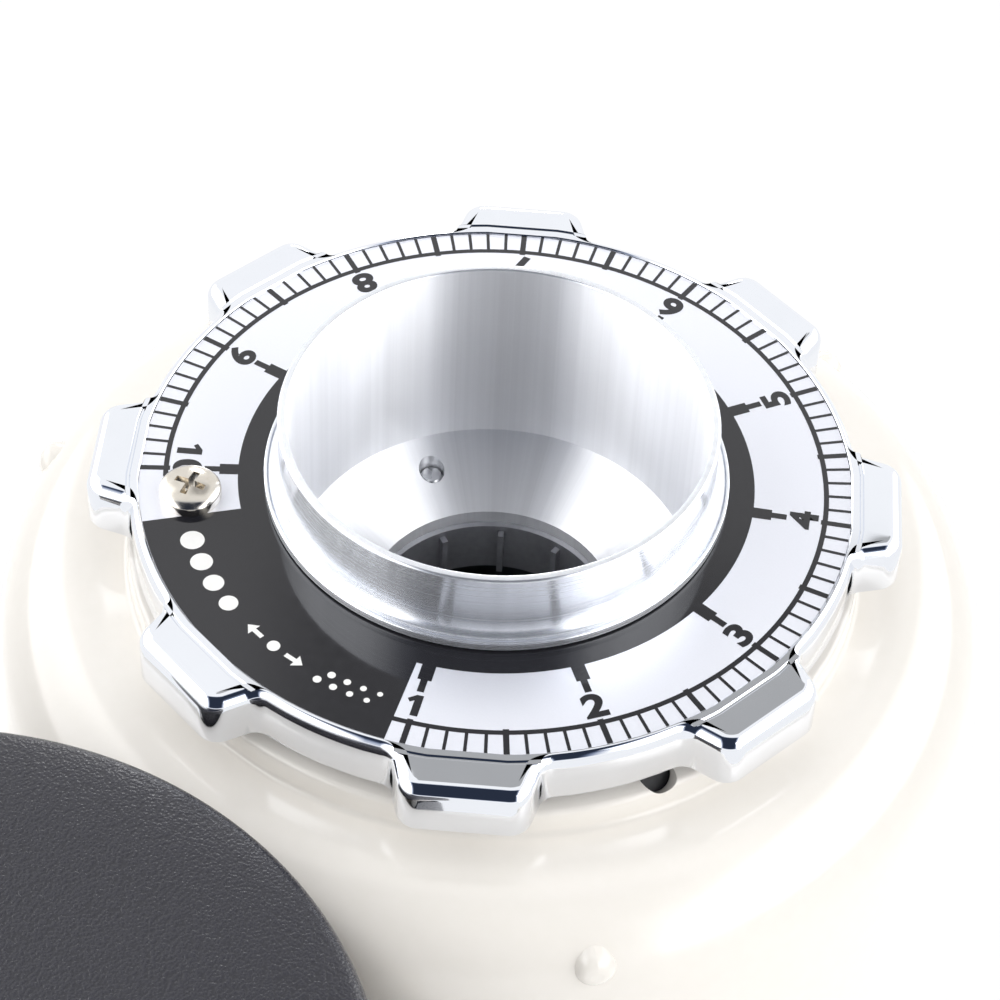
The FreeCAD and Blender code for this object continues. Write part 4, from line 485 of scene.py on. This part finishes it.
# Throat collar: turned from aluminium bar, with a flange that rests over the dial.
# Satin with fine tool rings in the bore, polished outside, where it mirrors the dial's print.
COLLAR_BORE, COLLAR_WALL, COLLAR_FLANGE = 30.5, 31.85, 33.9
COLLAR_LOW, COLLAR_SEAT, COLLAR_LEDGE, COLLAR_TOP = -21.7, 0.3, 1.7, 12.5
COVE_WIDTH, COVE_HEIGHT, FLANGE_EDGE, RIM_OUT, RIM_IN = 1.35, 2.6, 0.2, 0.5, 0.35
COLLAR_STEPS, COVE_STEPS = 256, 14
LIP_WIDTH, LIP_GROOVE, LIP_SLOPE = 0.45, 0.35, 0.1
BORE_SKIN = 0.02
polished = turned("polished_aluminium", "EEF1F7", 0.88, 0.24, 0.88)


def lathe(bm, points, steps=64, closed=False):
    """A turned shape about the Z axis from (radius, height) points in mm, from pole to pole or closed."""
    rows = []
    for k in range(steps):
        angle = 2 * math.pi * k / steps
        rows.append([bm.verts.new(Vector((r * math.cos(angle), r * math.sin(angle), z)) * MM)
                     for r, z in points])
    skin(bm, rows, closed)


collar_bm = bmesh.new()
tube = [(COLLAR_BORE, COLLAR_LOW), (COLLAR_WALL, COLLAR_LOW), (COLLAR_WALL, COLLAR_SEAT)]
flange = [(COLLAR_FLANGE, COLLAR_SEAT, FLANGE_EDGE), (COLLAR_FLANGE, COLLAR_LEDGE, FLANGE_EDGE)]
lip_in = COLLAR_FLANGE - LIP_WIDTH
lip = [(lip_in, COLLAR_LEDGE), (lip_in - LIP_SLOPE, COLLAR_LEDGE - LIP_GROOVE)]
cove = [(COLLAR_WALL + COVE_WIDTH * (1 - math.cos(a)), COLLAR_LEDGE + COVE_HEIGHT * (1 - math.sin(a)))
        for a in [math.pi / 2 * k / COVE_STEPS for k in range(COVE_STEPS, -1, -1)]]
rim = [(COLLAR_WALL, COLLAR_TOP, RIM_OUT), (COLLAR_BORE, COLLAR_TOP, RIM_IN)]
lathe(collar_bm, rounded(tube + flange + lip + cove + rim), COLLAR_STEPS, closed=True)
bmesh.ops.translate(collar_bm, verts=collar_bm.verts, vec=AXIS)
collar = solid("throat_collar_turned", collar_bm)
fit(collar, polished, "carrier", "turned_aluminium", "throat_collar")
collar.data.materials.append(aluminium)
for face in collar.data.polygons:
    face.material_index = int((face.center - AXIS).xy.length < (COLLAR_BORE + BORE_SKIN) * MM)

# Burr screw tips: the ends of the three upper burr screws, just under the face of the cone.
# Steel with a small chamfer, in bright zinc unlike the black oxide screws, as a painted glint in the tapped
# holes.
TIP_R, TIP_CHAMFER, TIP_RING_R, TIP_START, TIP_COUNT = 1.85, 0.4, 25.7, 147, 3
TIP_LOW, TIP_TOP, TIP_STEPS = -34.0, -25.3, 32
tips_bm = bmesh.new()
for k in range(TIP_COUNT):
    tip_bm = bmesh.new()
    lathe(tip_bm, [(0, TIP_LOW), (TIP_R, TIP_LOW), (TIP_R, TIP_TOP - TIP_CHAMFER),
                   (TIP_R - TIP_CHAMFER, TIP_TOP), (0, TIP_TOP)], TIP_STEPS)
    tip_way = Matrix.Rotation(math.radians(TIP_START + 360 / TIP_COUNT * k), 4, "Z")
    tip_way = Matrix.Translation(AXIS) @ tip_way @ Matrix.Translation((TIP_RING_R * MM, 0, 0))
    bmesh.ops.transform(tip_bm, matrix=tip_way, verts=tip_bm.verts)
    one_tip = bpy.data.meshes.new("tip")
    tip_bm.to_mesh(one_tip)
    tip_bm.free()
    tips_bm.from_mesh(one_tip)
    bpy.data.meshes.remove(one_tip)
fit(solid("burr_screw_tips_painted_glint", tips_bm), zinc, "carrier", "bright_steel")

# Adjusting ring, lever and fork: steel and zinc castings, polished and chrome plated.
# Mirror bright, with a slight waviness from the buffing wheel.
chrome = speckle(surface("polished_chrome_plate", "ECEFF5", {"Metallic": 1.0, "Roughness": 0.05}),
                 6.0, ("E9ECF2", "EFF2F8"), (0.03, 0.07), 0.003)
dress(chrome, "doser_lever", "portafilter_fork")
LOBES, LOBE_START = 8, 31.3
ROOT_R, ROOT_HALF, ROOT_ROUND = 53.5, 11.4, 2.6
LOBE_R, LOBE_HALF, LOBE_ROUND = 60.0, 8.3, 3.4
VALLEY_FIRST, VALLEY_STEPS = 4.0, 14
RING_TOP, RING_LOW, RING_FOOT = 0.3, -8.3, 0.5
ROLL, ROLL_LIMIT_R, ROLL_STEPS = 2.2, 52.3, 12
RIM_GROOVE, GROOVE_HALF, GROOVE_DEPTH = 53.6, 0.22, 0.25
SEAT_R, SEAT_EDGE, SEAT_DEPTH, THROAT_R, WEB_LOW = 52.1, 0.15, -1.2, 32.4, -9.2
SKIRT_IN, SKIRT_OUT, SKIRT_LOW = 37.8, 45.9, -25.7


def polar(radius, degrees):
    """A point on the plane at a radius and an angle."""
    return radius * math.cos(math.radians(degrees)), radius * math.sin(math.radians(degrees))


corners = []
for k in range(LOBES):
    middle = LOBE_START + 360 / LOBES * k
    corners += [(*polar(ROOT_R, middle - ROOT_HALF), ROOT_ROUND),
                (*polar(LOBE_R, middle - LOBE_HALF), LOBE_ROUND),
                (*polar(LOBE_R, middle + LOBE_HALF), LOBE_ROUND),
                (*polar(ROOT_R, middle + ROOT_HALF), ROOT_ROUND)]
    valley = ROOT_HALF + VALLEY_FIRST
    span = 360 / LOBES - 2 * valley
    corners += [polar(ROOT_R, middle + valley + span * n / VALLEY_STEPS) for n in range(VALLEY_STEPS + 1)]
outline = [Vector(p) for p in rounded(corners)]
ring_bm = bmesh.new()
rows = []
for i, here in enumerate(outline):
    along = (outline[(i + 1) % len(outline)] - outline[i - 1]).normalized()
    out = Vector((along.y, -along.x))
    roll = min(ROLL, here.length - ROLL_LIMIT_R)
    turns = [math.pi / 2 * n / ROLL_STEPS for n in range(ROLL_STEPS + 1)]
    edge = [(here - out * RING_FOOT, RING_LOW), (here - out * RING_FOOT * 0.3, RING_LOW + RING_FOOT * 0.3),
            (here, RING_LOW + RING_FOOT)]
    edge += [(here - out * roll * (1 - math.cos(a)), RING_TOP - ROLL * (1 - math.sin(a))) for a in turns]
    way = here.normalized()
    inner = (here - out * roll).length
    low = RING_TOP - GROOVE_DEPTH * min(1, max(0, (inner - RIM_GROOVE) / 2))
    groove = [(way * min(inner, RIM_GROOVE + off * GROOVE_HALF), z) for off, z in (
        (2.0, RING_TOP), (1.6, RING_TOP), (0.6, low), (-0.6, low), (-1.6, RING_TOP), (-2.0, RING_TOP))]
    round_points = [(SEAT_R + SEAT_EDGE, RING_TOP), (SEAT_R, RING_TOP - SEAT_EDGE), (SEAT_R, SEAT_DEPTH),
                    (THROAT_R, SEAT_DEPTH), (THROAT_R, WEB_LOW), (SKIRT_IN, WEB_LOW), (SKIRT_IN, SKIRT_LOW),
                    (SKIRT_OUT, SKIRT_LOW), (SKIRT_OUT, RING_LOW)]
    points = edge + groove + [(way * r, z) for r, z in round_points]
    rows.append([ring_bm.verts.new(AXIS + Vector((p.x, p.y, z)) * MM) for p, z in points])
skin(ring_bm, rows, True)
fit(solid("adjusting_ring_chromed", ring_bm), chrome, "ring", "chrome_plate", "adjusting_ring")

# Dial plate: a ring of sheet aluminium, let into the adjusting ring and held by one screw.
# Anodised satin, with a fine grain that softens what it mirrors.
dial_silver = speckle(surface("satin_anodised_aluminium", "E4E6EE", {"Metallic": 0.75, "Roughness": 0.38}),
                      0.3, ("E1E3EB", "E7E9F1"), (0.33, 0.43), 0.001)
dress(dial_silver, "dial_plate")

# Dial print: glossy black ink screened on the plate, a film that stands just proud of it.
# A band round the throat, a plain sector, a scale circle, ticks, stubs and numbers.
# A tick or stub is its inner radius, outer radius and width; films that cross stand one step apart.
INK, INK_SINK, INK_STEP = 0.03, 0.01, 0.002
INK_TOP = INK + 3 * INK_STEP
BAND_IN, BAND_OUT = 32.9, 37.7
PRINT_OUT = 51.95
SECTOR_FROM, SECTOR_TO = -132.5, -71.5
CIRCLE_IN, CIRCLE_OUT = 47.8, 48.55
NUMBER_START, NUMBER_STEP, NUMBER_COUNT = -68.7, 31.587, 10
LAST_NUMBER = NUMBER_START + NUMBER_STEP * (NUMBER_COUNT - 1)
CIRCLE_PAST = 2
FINE_STEPS = 10
FINE_TICK, HALF_TICK = (48.3, PRINT_OUT, 0.48), (47.6, PRINT_OUT, 0.85)
STUB_ROOT, STUB_TIP = (37.5, 40.4, 2.0), (40.2, 42.6, 1.0)
ink = speckle(surface("screened_black_ink_gloss", "1B1B1E", {"Roughness": 0.08, "IOR": 1.55}),
              1.5, ("19191C", "1E1E22"), (0.05, 0.1), 0.001)


def ring_sector(bm, inner, outer, start, end, low, high):
    """A flat block between two radii in mm and two angles in degrees about the dial's axis."""
    whole = end - start >= 360
    steps = max(2, math.ceil(end - start))
    rows = []
    for k in range(steps if whole else steps + 1):
        angle = math.radians(start + (end - start) * k / steps)
        way = Vector((math.cos(angle), math.sin(angle), 0))
        rows.append([bm.verts.new(AXIS + (way * r + Vector((0, 0, z))) * MM)
                     for r, z in ((inner, low), (outer, low), (outer, high), (inner, high))])
    for here, there in zip(rows, rows[1:] + (rows[:1] if whole else [])):
        for i in range(4):
            bm.faces.new((here[i], there[i], there[(i + 1) % 4], here[(i + 1) % 4]))
    if not whole:
        bm.faces.new(rows[0])
        bm.faces.new(rows[-1])
    bmesh.ops.recalc_face_normals(bm, faces=bm.faces)


field_bm = bmesh.new()
ring_sector(field_bm, BAND_IN, BAND_OUT, 0, 360, -INK_SINK, INK)
ring_sector(field_bm, BAND_OUT, PRINT_OUT, SECTOR_FROM, SECTOR_TO, -INK_SINK, INK)
ring_sector(field_bm, CIRCLE_IN, CIRCLE_OUT, SECTOR_TO, LAST_NUMBER + CIRCLE_PAST, -INK_SINK, INK)
fit(solid("dial_print_field", field_bm), ink, "ring", "black_plastic")

marks = bpy.data.node_groups.new("marks_round_the_dial", "GeometryNodeTree")
for name, kind in (("Count", "NodeSocketInt"), ("Start", "NodeSocketFloat"), ("Step", "NodeSocketFloat"),
                   ("Size", "NodeSocketVector"), ("Place", "NodeSocketVector"), ("Axis", "NodeSocketVector"),
                   ("Ink", "NodeSocketMaterial")):
    marks.interface.new_socket(name, in_out="INPUT", socket_type=kind)
marks.interface.new_socket("Marks", in_out="OUTPUT", socket_type="NodeSocketGeometry")
given = add(marks, "NodeGroupInput").outputs
order = add(marks, "GeometryNodeInputIndex").outputs[0]
angle = add(marks, "ShaderNodeMath", {0: order, 1: given["Step"], 2: given["Start"]},
            operation="MULTIPLY_ADD")
turned_by = add(marks, "FunctionNodeEulerToRotation",
                {0: add(marks, "ShaderNodeCombineXYZ", {2: angle.outputs[0]}).outputs[0]})
stroke = add(marks, "GeometryNodeMeshCube", {"Size": given["Size"]})
stroke = add(marks, "GeometryNodeTransform", {"Geometry": stroke.outputs[0], "Translation": given["Place"]})
spots = add(marks, "GeometryNodeMeshLine", {"Count": given["Count"], "Offset": (0, 0, 0)})
copies = add(marks, "GeometryNodeInstanceOnPoints",
             {"Points": spots.outputs[0], "Instance": stroke.outputs[0], "Rotation": turned_by.outputs[0]})
copies = add(marks, "GeometryNodeRealizeInstances", {"Geometry": copies.outputs[0]})
copies = add(marks, "GeometryNodeTransform", {"Geometry": copies.outputs[0], "Translation": given["Axis"]})
copies = add(marks, "GeometryNodeSetMaterial", {"Geometry": copies.outputs[0], "Material": given["Ink"]})
add(marks, "NodeGroupOutput", {0: copies.outputs[0]})


def grown(name, tree, values):
    """A plain mesh object from a node tree with its named inputs set."""
    made = bpy.data.objects.new(name, bpy.data.meshes.new(name))
    scene.collection.objects.link(made)
    modifier = made.modifiers.new(name, "NODES")
    modifier.node_group = tree
    for item in tree.interface.items_tree:
        if item.in_out == "INPUT" and item.name in values:
            modifier[item.identifier] = values[item.name]
    done = bpy.data.meshes.new_from_object(made.evaluated_get(bpy.context.evaluated_depsgraph_get()))
    made.modifiers.clear()
    made.data = done
    done.name = name
    return made


def dial_marks(name, count, step, inner, outer, width, rise):
    """Radial strokes of ink from one radius to another, starting at the first number."""
    tall = INK_SINK + rise
    piece = grown(name, marks, {
        "Count": count, "Start": math.radians(NUMBER_START), "Step": math.radians(step),
        "Size": Vector((outer - inner, width, tall)) * MM, "Ink": ink, "Axis": AXIS,
        "Place": Vector(((inner + outer) / 2, 0, tall / 2 - INK_SINK)) * MM})
    fit(piece, ink, "ring", "black_plastic")


fine_count = (NUMBER_COUNT - 1) * FINE_STEPS + 1
half_count = (NUMBER_COUNT - 1) * 2 + 1
dial_marks("dial_fine_ticks", fine_count, NUMBER_STEP / FINE_STEPS, *FINE_TICK, INK + INK_STEP)
dial_marks("dial_half_ticks", half_count, NUMBER_STEP / 2, *HALF_TICK, INK + 2 * INK_STEP)
dial_marks("dial_stub_roots", NUMBER_COUNT, NUMBER_STEP, *STUB_ROOT, INK + INK_STEP)
dial_marks("dial_stub_tips", NUMBER_COUNT, NUMBER_STEP, *STUB_TIP, INK + 2 * INK_STEP)

# Breaker ring: the ribbed steel ring of the upper burr, seen down the throat under the cone.
# A dull grey, painted paler than the burr's own steel as painted light for the dim throat. It lifts with the
# carrier.
BREAKER_OUT, BREAKER_IN, BREAKER_LOW, BREAKER_TOP = 18.65, 18.1, -39.9, -30.2
BREAKER_EDGE, BREAKER_STEPS = 0.5, 96
BREAKER_RIBS, RIB_DEPTH, RIB_WIDTH, RIB_SHORT, RIB_SINK = 12, 1.3, 0.9, 1.5, 0.1
burr_steel_painted_paler = speckle(surface("burr_steel_painted_paler_for_the_dim_throat", "8E8F94", {"Metallic": 0.6, "Roughness": 0.42}),
                        1.2, ("7E7F84", "9E9FA4"), (0.35, 0.5), 0.006)
breaker_bm = bmesh.new()
lathe(breaker_bm, [(BREAKER_IN, BREAKER_LOW), (BREAKER_OUT, BREAKER_LOW), (BREAKER_OUT, BREAKER_TOP),
                   (BREAKER_IN, BREAKER_TOP - BREAKER_EDGE)], BREAKER_STEPS, closed=True)
bmesh.ops.translate(breaker_bm, verts=breaker_bm.verts, vec=AXIS)
fit(solid("burr_breaker_ring", breaker_bm), burr_steel_painted_paler, "carrier", "burr_steel")
rib_top = BREAKER_TOP - RIB_SHORT
ribs = grown("burr_breaker_ribs", marks, {
    "Count": BREAKER_RIBS, "Start": 0.0, "Step": 2 * math.pi / BREAKER_RIBS, "Ink": burr_steel_painted_paler,
    "Axis": AXIS, "Size": Vector((RIB_DEPTH, RIB_WIDTH, rib_top - BREAKER_LOW)) * MM,
    "Place": Vector((BREAKER_IN - RIB_DEPTH / 2 + RIB_SINK, 0, (BREAKER_LOW + rib_top) / 2)) * MM})
fit(ribs, burr_steel_painted_paler, "carrier", "burr_steel")

# Numbers: plain sans figures in the same black ink, thickened, with their tops towards the throat.
# The 1 is drawn without a foot. The 10 is set back, and the dial screw covers a part of its 0.
NUMBER_RADIUS, NUMBER_SIZE, NUMBER_WEIGHT, NUMBER_STRETCH = 45.1, 5.5, 0.22, 1.2
ONE = ((-0.2, 1.85), (-1.35, 1.0), (-0.95, 0.45), (-0.35, 0.85), (-0.35, -1.85), (0.75, -1.85), (0.75, 1.85))
TEN_SPREAD, TEN_BACK, ZERO_SHARE = 2.1, 2.0, 0.7


def figure(bm, text, degrees):
    """A flat figure on the dial, centred on the ring of numbers at an angle."""
    curve = bpy.data.curves.new("figure", "FONT")
    curve.body = text
    curve.size = NUMBER_SIZE * MM
    curve.offset = NUMBER_WEIGHT * MM
    curve.extrude = (INK_SINK + INK_TOP) / 2 * MM
    curve.align_x = "CENTER"
    curve.resolution_u = 6
    shaped = bpy.data.objects.new("figure", curve)
    scene.collection.objects.link(shaped)
    flat = bpy.data.meshes.new_from_object(shaped.evaluated_get(bpy.context.evaluated_depsgraph_get()))
    bpy.data.objects.remove(shaped)
    tops = [v.co.y for v in flat.vertices]
    middle = (min(tops) + max(tops)) / 2
    angle = math.radians(degrees)
    flat.transform(Matrix.Translation(AXIS) @ Matrix.Rotation(angle, 4, "Z")
                   @ Matrix.Translation((NUMBER_RADIUS * MM, 0, (INK_TOP - INK_SINK) / 2 * MM))
                   @ Matrix.Rotation(math.pi / 2, 4, "Z") @ Matrix.Diagonal((NUMBER_STRETCH, 1, 1, 1))
                   @ Matrix.Translation((0, -middle, 0)))
    bm.from_mesh(flat)
    bpy.data.meshes.remove(flat)


def plate(bm, corners, degrees):
    """A thin flat shape of ink, from its corners in mm about the dial's axis, turned by an angle."""
    spin = Matrix.Rotation(math.radians(degrees), 2)
    corners = [spin @ Vector(corner) for corner in corners]
    low_row = [bm.verts.new(AXIS + Vector((x, y, -INK_SINK)) * MM) for x, y in corners]
    high_row = [bm.verts.new(AXIS + Vector((x, y, INK_TOP)) * MM) for x, y in corners]
    faces = [bm.faces.new(low_row[::-1]), bm.faces.new(high_row)]
    for i, here in enumerate(low_row):
        j = (i + 1) % len(low_row)
        faces.append(bm.faces.new((here, low_row[j], high_row[j], high_row[i])))
    bmesh.ops.recalc_face_normals(bm, faces=faces)


number_bm = bmesh.new()
ten_place = LAST_NUMBER - TEN_BACK
ten_spread = math.degrees(TEN_SPREAD / NUMBER_RADIUS)
for degrees in (NUMBER_START, ten_place - ten_spread):
    plate(number_bm, [(NUMBER_RADIUS - y, x) for x, y in ONE], degrees)
places = [(str(n + 1), NUMBER_START + NUMBER_STEP * n) for n in range(1, NUMBER_COUNT - 1)]
for text, degrees in places + [("0", ten_place + ZERO_SHARE * ten_spread)]:
    figure(number_bm, text, degrees)
fit(solid("dial_numbers", number_bm), ink, "ring", "black_plastic")

# Grain marks: satin white ink screened on the black sector. Large dots stand where the grind is coarse and
# small ones where it is fine, with an arrow each way from the dot between them. Each dot is an angle, a step
# outwards and a radius; each arrow is an angle and the way that it points.
GRAIN_RADIUS, DOT_STEPS = 45.7, 32
COARSE_GRAINS = [(-126.4 + 5.5 * k, 0, 1.75 - 0.12 * k) for k in range(4)]
FINE_GRAINS = [(-86.5 + 1.6 * k, 0.85 * (-1) ** k, 0.62 - 0.03 * k) for k in range(8)]
MIDDLE_DOT = (-97.1, 0, 0.95)
ARROWS = ((-101.9, -1), (-92.3, 1))
ARROW_HALF_LENGTH, ARROW_HALF_WIDTH, ARROW_STEM, ARROW_NECK = 1.55, 1.1, 0.36, 0.2
white_ink = speckle(surface("screened_white_ink", "ECECEA", {"Roughness": 0.35, "IOR": 1.5}),
                    1.0, ("E8E8E6", "F0F0EE"), (0.3, 0.4))
grain_bm = bmesh.new()
for degrees, out, size in COARSE_GRAINS + FINE_GRAINS + [MIDDLE_DOT]:
    turns = [2 * math.pi * k / DOT_STEPS for k in range(DOT_STEPS)]
    plate(grain_bm, [(GRAIN_RADIUS + out + size * math.cos(a), size * math.sin(a)) for a in turns], degrees)
half_arrow = ((ARROW_STEM, -ARROW_HALF_LENGTH), (ARROW_STEM, ARROW_NECK), (ARROW_HALF_WIDTH, ARROW_NECK))
arrow = [*half_arrow, (0, ARROW_HALF_LENGTH), *[(-a, b) for a, b in half_arrow[::-1]]]
for degrees, way in ARROWS:
    plate(grain_bm, [(GRAIN_RADIUS + a, way * b) for a, b in arrow], degrees)
fit(solid("dial_grain_marks", grain_bm), white_ink, "ring", "pale_plastic")

# Dial screw: one pan-head machine screw, nickel plated and slightly warm in colour.
# Its cross recess is punched, and narrows to a square at the bottom.
SCREW_RADIUS, SCREW_ANGLE = 44.6, 222.2
SCREW_HEAD_R, SCREW_HEAD, SCREW_RIM, SCREW_STEPS = 4.5, 2.6, 0.45, 12
SCREW_STEM_R, SCREW_REACH = 2.0, 6.0
CROSS_HALF, CROSS_REACH, CROSS_DEPTH, CROSS_WALL, CROSS_CLEAR, CROSS_TURN = 0.5, 2.3, 1.7, 0.45, 1, 12
nickel = speckle(surface("nickel_plated_steel", "D8D2C8", {"Metallic": 1.0, "Roughness": 0.18}),
                 1.0, ("D0C9BE", "DFDAD1"), (0.13, 0.24))
dome = [(SCREW_HEAD_R * math.sin(a), SCREW_HEAD * (SCREW_RIM + (1 - SCREW_RIM) * math.cos(a)))
        for a in [math.pi / 2 * k / SCREW_STEPS for k in range(SCREW_STEPS + 1)]]
screw_bm = bmesh.new()
lathe(screw_bm, dome + [(SCREW_HEAD_R, 0), (SCREW_STEM_R, 0), (SCREW_STEM_R, -SCREW_REACH),
                        (0, -SCREW_REACH)])
dial_screw = solid("dial_screw_detail", screw_bm)
for turn_by in (0, math.pi / 2):
    cross_bm = bmesh.new()
    spin = Matrix.Rotation(turn_by, 2)
    rows = []
    for arm, z in ((CROSS_HALF, SCREW_HEAD - CROSS_DEPTH),
                   (CROSS_REACH, SCREW_HEAD - CROSS_WALL * CROSS_DEPTH),
                   (CROSS_REACH, SCREW_HEAD + CROSS_CLEAR)):
        row = [spin @ Vector((arm * x, CROSS_HALF * y)) for x, y in ((-1, -1), (1, -1), (1, 1), (-1, 1))]
        rows.append([cross_bm.verts.new(Vector((p.x, p.y, z)) * MM) for p in row])
    cross_bm.faces.new(rows[0][::-1])
    cross_bm.faces.new(rows[2])
    for lower, upper in zip(rows, rows[1:]):
        for i in range(4):
            cross_bm.faces.new((lower[i], lower[(i + 1) % 4], upper[(i + 1) % 4], upper[i]))
    bmesh.ops.recalc_face_normals(cross_bm, faces=cross_bm.faces)
    carve(dial_screw, solid("cutter", cross_bm))
screw_place = Vector((*polar(SCREW_RADIUS, SCREW_ANGLE), 0)) * MM
dial_screw.data.transform(Matrix.Translation(AXIS + screw_place)
                          @ Matrix.Rotation(math.radians(CROSS_TURN), 4, "Z"))
fit(dial_screw, nickel, "ring", "bright_steel", "dial_screw")

# Doser lid, cup and tray: black ABS moulded with a leather grain. The lid's top is slightly crowned.
# Soft pebbles about 0.4 mm across, parted by fine creases, that break up the gloss; the creases are painted
# darker, as painted shade.
GRAIN, GRAIN_RISE = 0.42, 0.05
CREASE_ROUGH, PEBBLE_ROUGH = 0.36, 0.22
CREASE_PAINTED_SHADE_COLOR, PEBBLE_COLOR = "1E1E24", "28282F"
LID_R, LID_EDGE, LID_DEEP, LID_FOOT = 63.0, 2.6, 16.0, 0.5
LID_CROWN, CROWN_POWER, CROWN_TO, LID_STEPS = 1.8, 8, 60, 192
LID_INNER_R, LID_WALL, LID_INNER_ROUND = 59.3, 4.0, 2.0
grained = surface("moulded_black_plastic_leather_grain", "26262D", {"Roughness": 0.42, "IOR": 1.5})
tree = grained.node_tree
place = add(tree, "ShaderNodeTexCoord").outputs["Object"]
bend = add(tree, "ShaderNodeTexNoise", {"Vector": place, "Scale": 1 / (1.5 * GRAIN * MM)}).outputs["Color"]
bend = add(tree, "ShaderNodeVectorMath", {0: bend, 1: (GRAIN * MM,) * 3}, operation="MULTIPLY").outputs[0]
place = add(tree, "ShaderNodeVectorMath", {0: place, 1: bend}, operation="ADD").outputs[0]
cells = add(tree, "ShaderNodeTexVoronoi", {"Vector": place, "Scale": 1 / (GRAIN * MM), "Smoothness": 1.0},
            feature="SMOOTH_F1").outputs["Distance"]
pebble = add(tree, "ShaderNodeMapRange", {"Value": cells, "From Min": 0.15, "From Max": 0.75, "To Min": 1.0,
                                          "To Max": 0.0}, interpolation_type="SMOOTHSTEP")
relief = add(tree, "ShaderNodeBump",
             {"Height": pebble.outputs[0], "Strength": 1.0, "Distance": GRAIN_RISE * MM})
shader = tree.nodes["Principled BSDF"]
tree.links.new(relief.outputs[0], shader.inputs["Normal"])
gloss = add(tree, "ShaderNodeMapRange",
            {"Value": pebble.outputs[0], "To Min": CREASE_ROUGH, "To Max": PEBBLE_ROUGH})
tree.links.new(gloss.outputs[0], shader.inputs["Roughness"])
tint = add(tree, "ShaderNodeMix",
           {0: pebble.outputs[0], 6: linear(CREASE_PAINTED_SHADE_COLOR), 7: linear(PEBBLE_COLOR)}, data_type="RGBA")
tree.links.new(tint.outputs[2], shader.inputs["Base Color"])
dress(grained, "doser_cup", "grounds_tray")
lid_low, lid_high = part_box("doser_lid")
lid_place = Vector(((lid_low.x + lid_high.x) / 2, (lid_low.y + lid_high.y) / 2, lid_high.z))
crown = [(r, LID_CROWN * (1 - (r / LID_R) ** CROWN_POWER)) for r in range(CROWN_TO)]
skirt = [(LID_R, 0, LID_EDGE), (LID_R, -LID_DEEP, LID_FOOT), (LID_INNER_R, -LID_DEEP, LID_FOOT),
         (LID_INNER_R, -LID_WALL, LID_INNER_ROUND), (0, -LID_WALL)]
lid_bm = bmesh.new()
lathe(lid_bm, rounded(crown + skirt, 10), LID_STEPS)
bmesh.ops.translate(lid_bm, verts=lid_bm.verts, vec=lid_place)
fit(solid("doser_lid_crowned", lid_bm), grained, "lid", "black_plastic", "doser_lid")

# Doser window: a clear band of smoked polycarbonate between the cup and the lid.
# Warm grey, with a faint cloud in its gloss.
smoked = surface("clear_smoked_polycarbonate", "CFC5B8",
                 {"Roughness": 0.05, "IOR": 1.585, "Transmission Weight": 1.0})
dress(speckle(smoked, 5.0, None, (0.03, 0.08)), "doser_window")
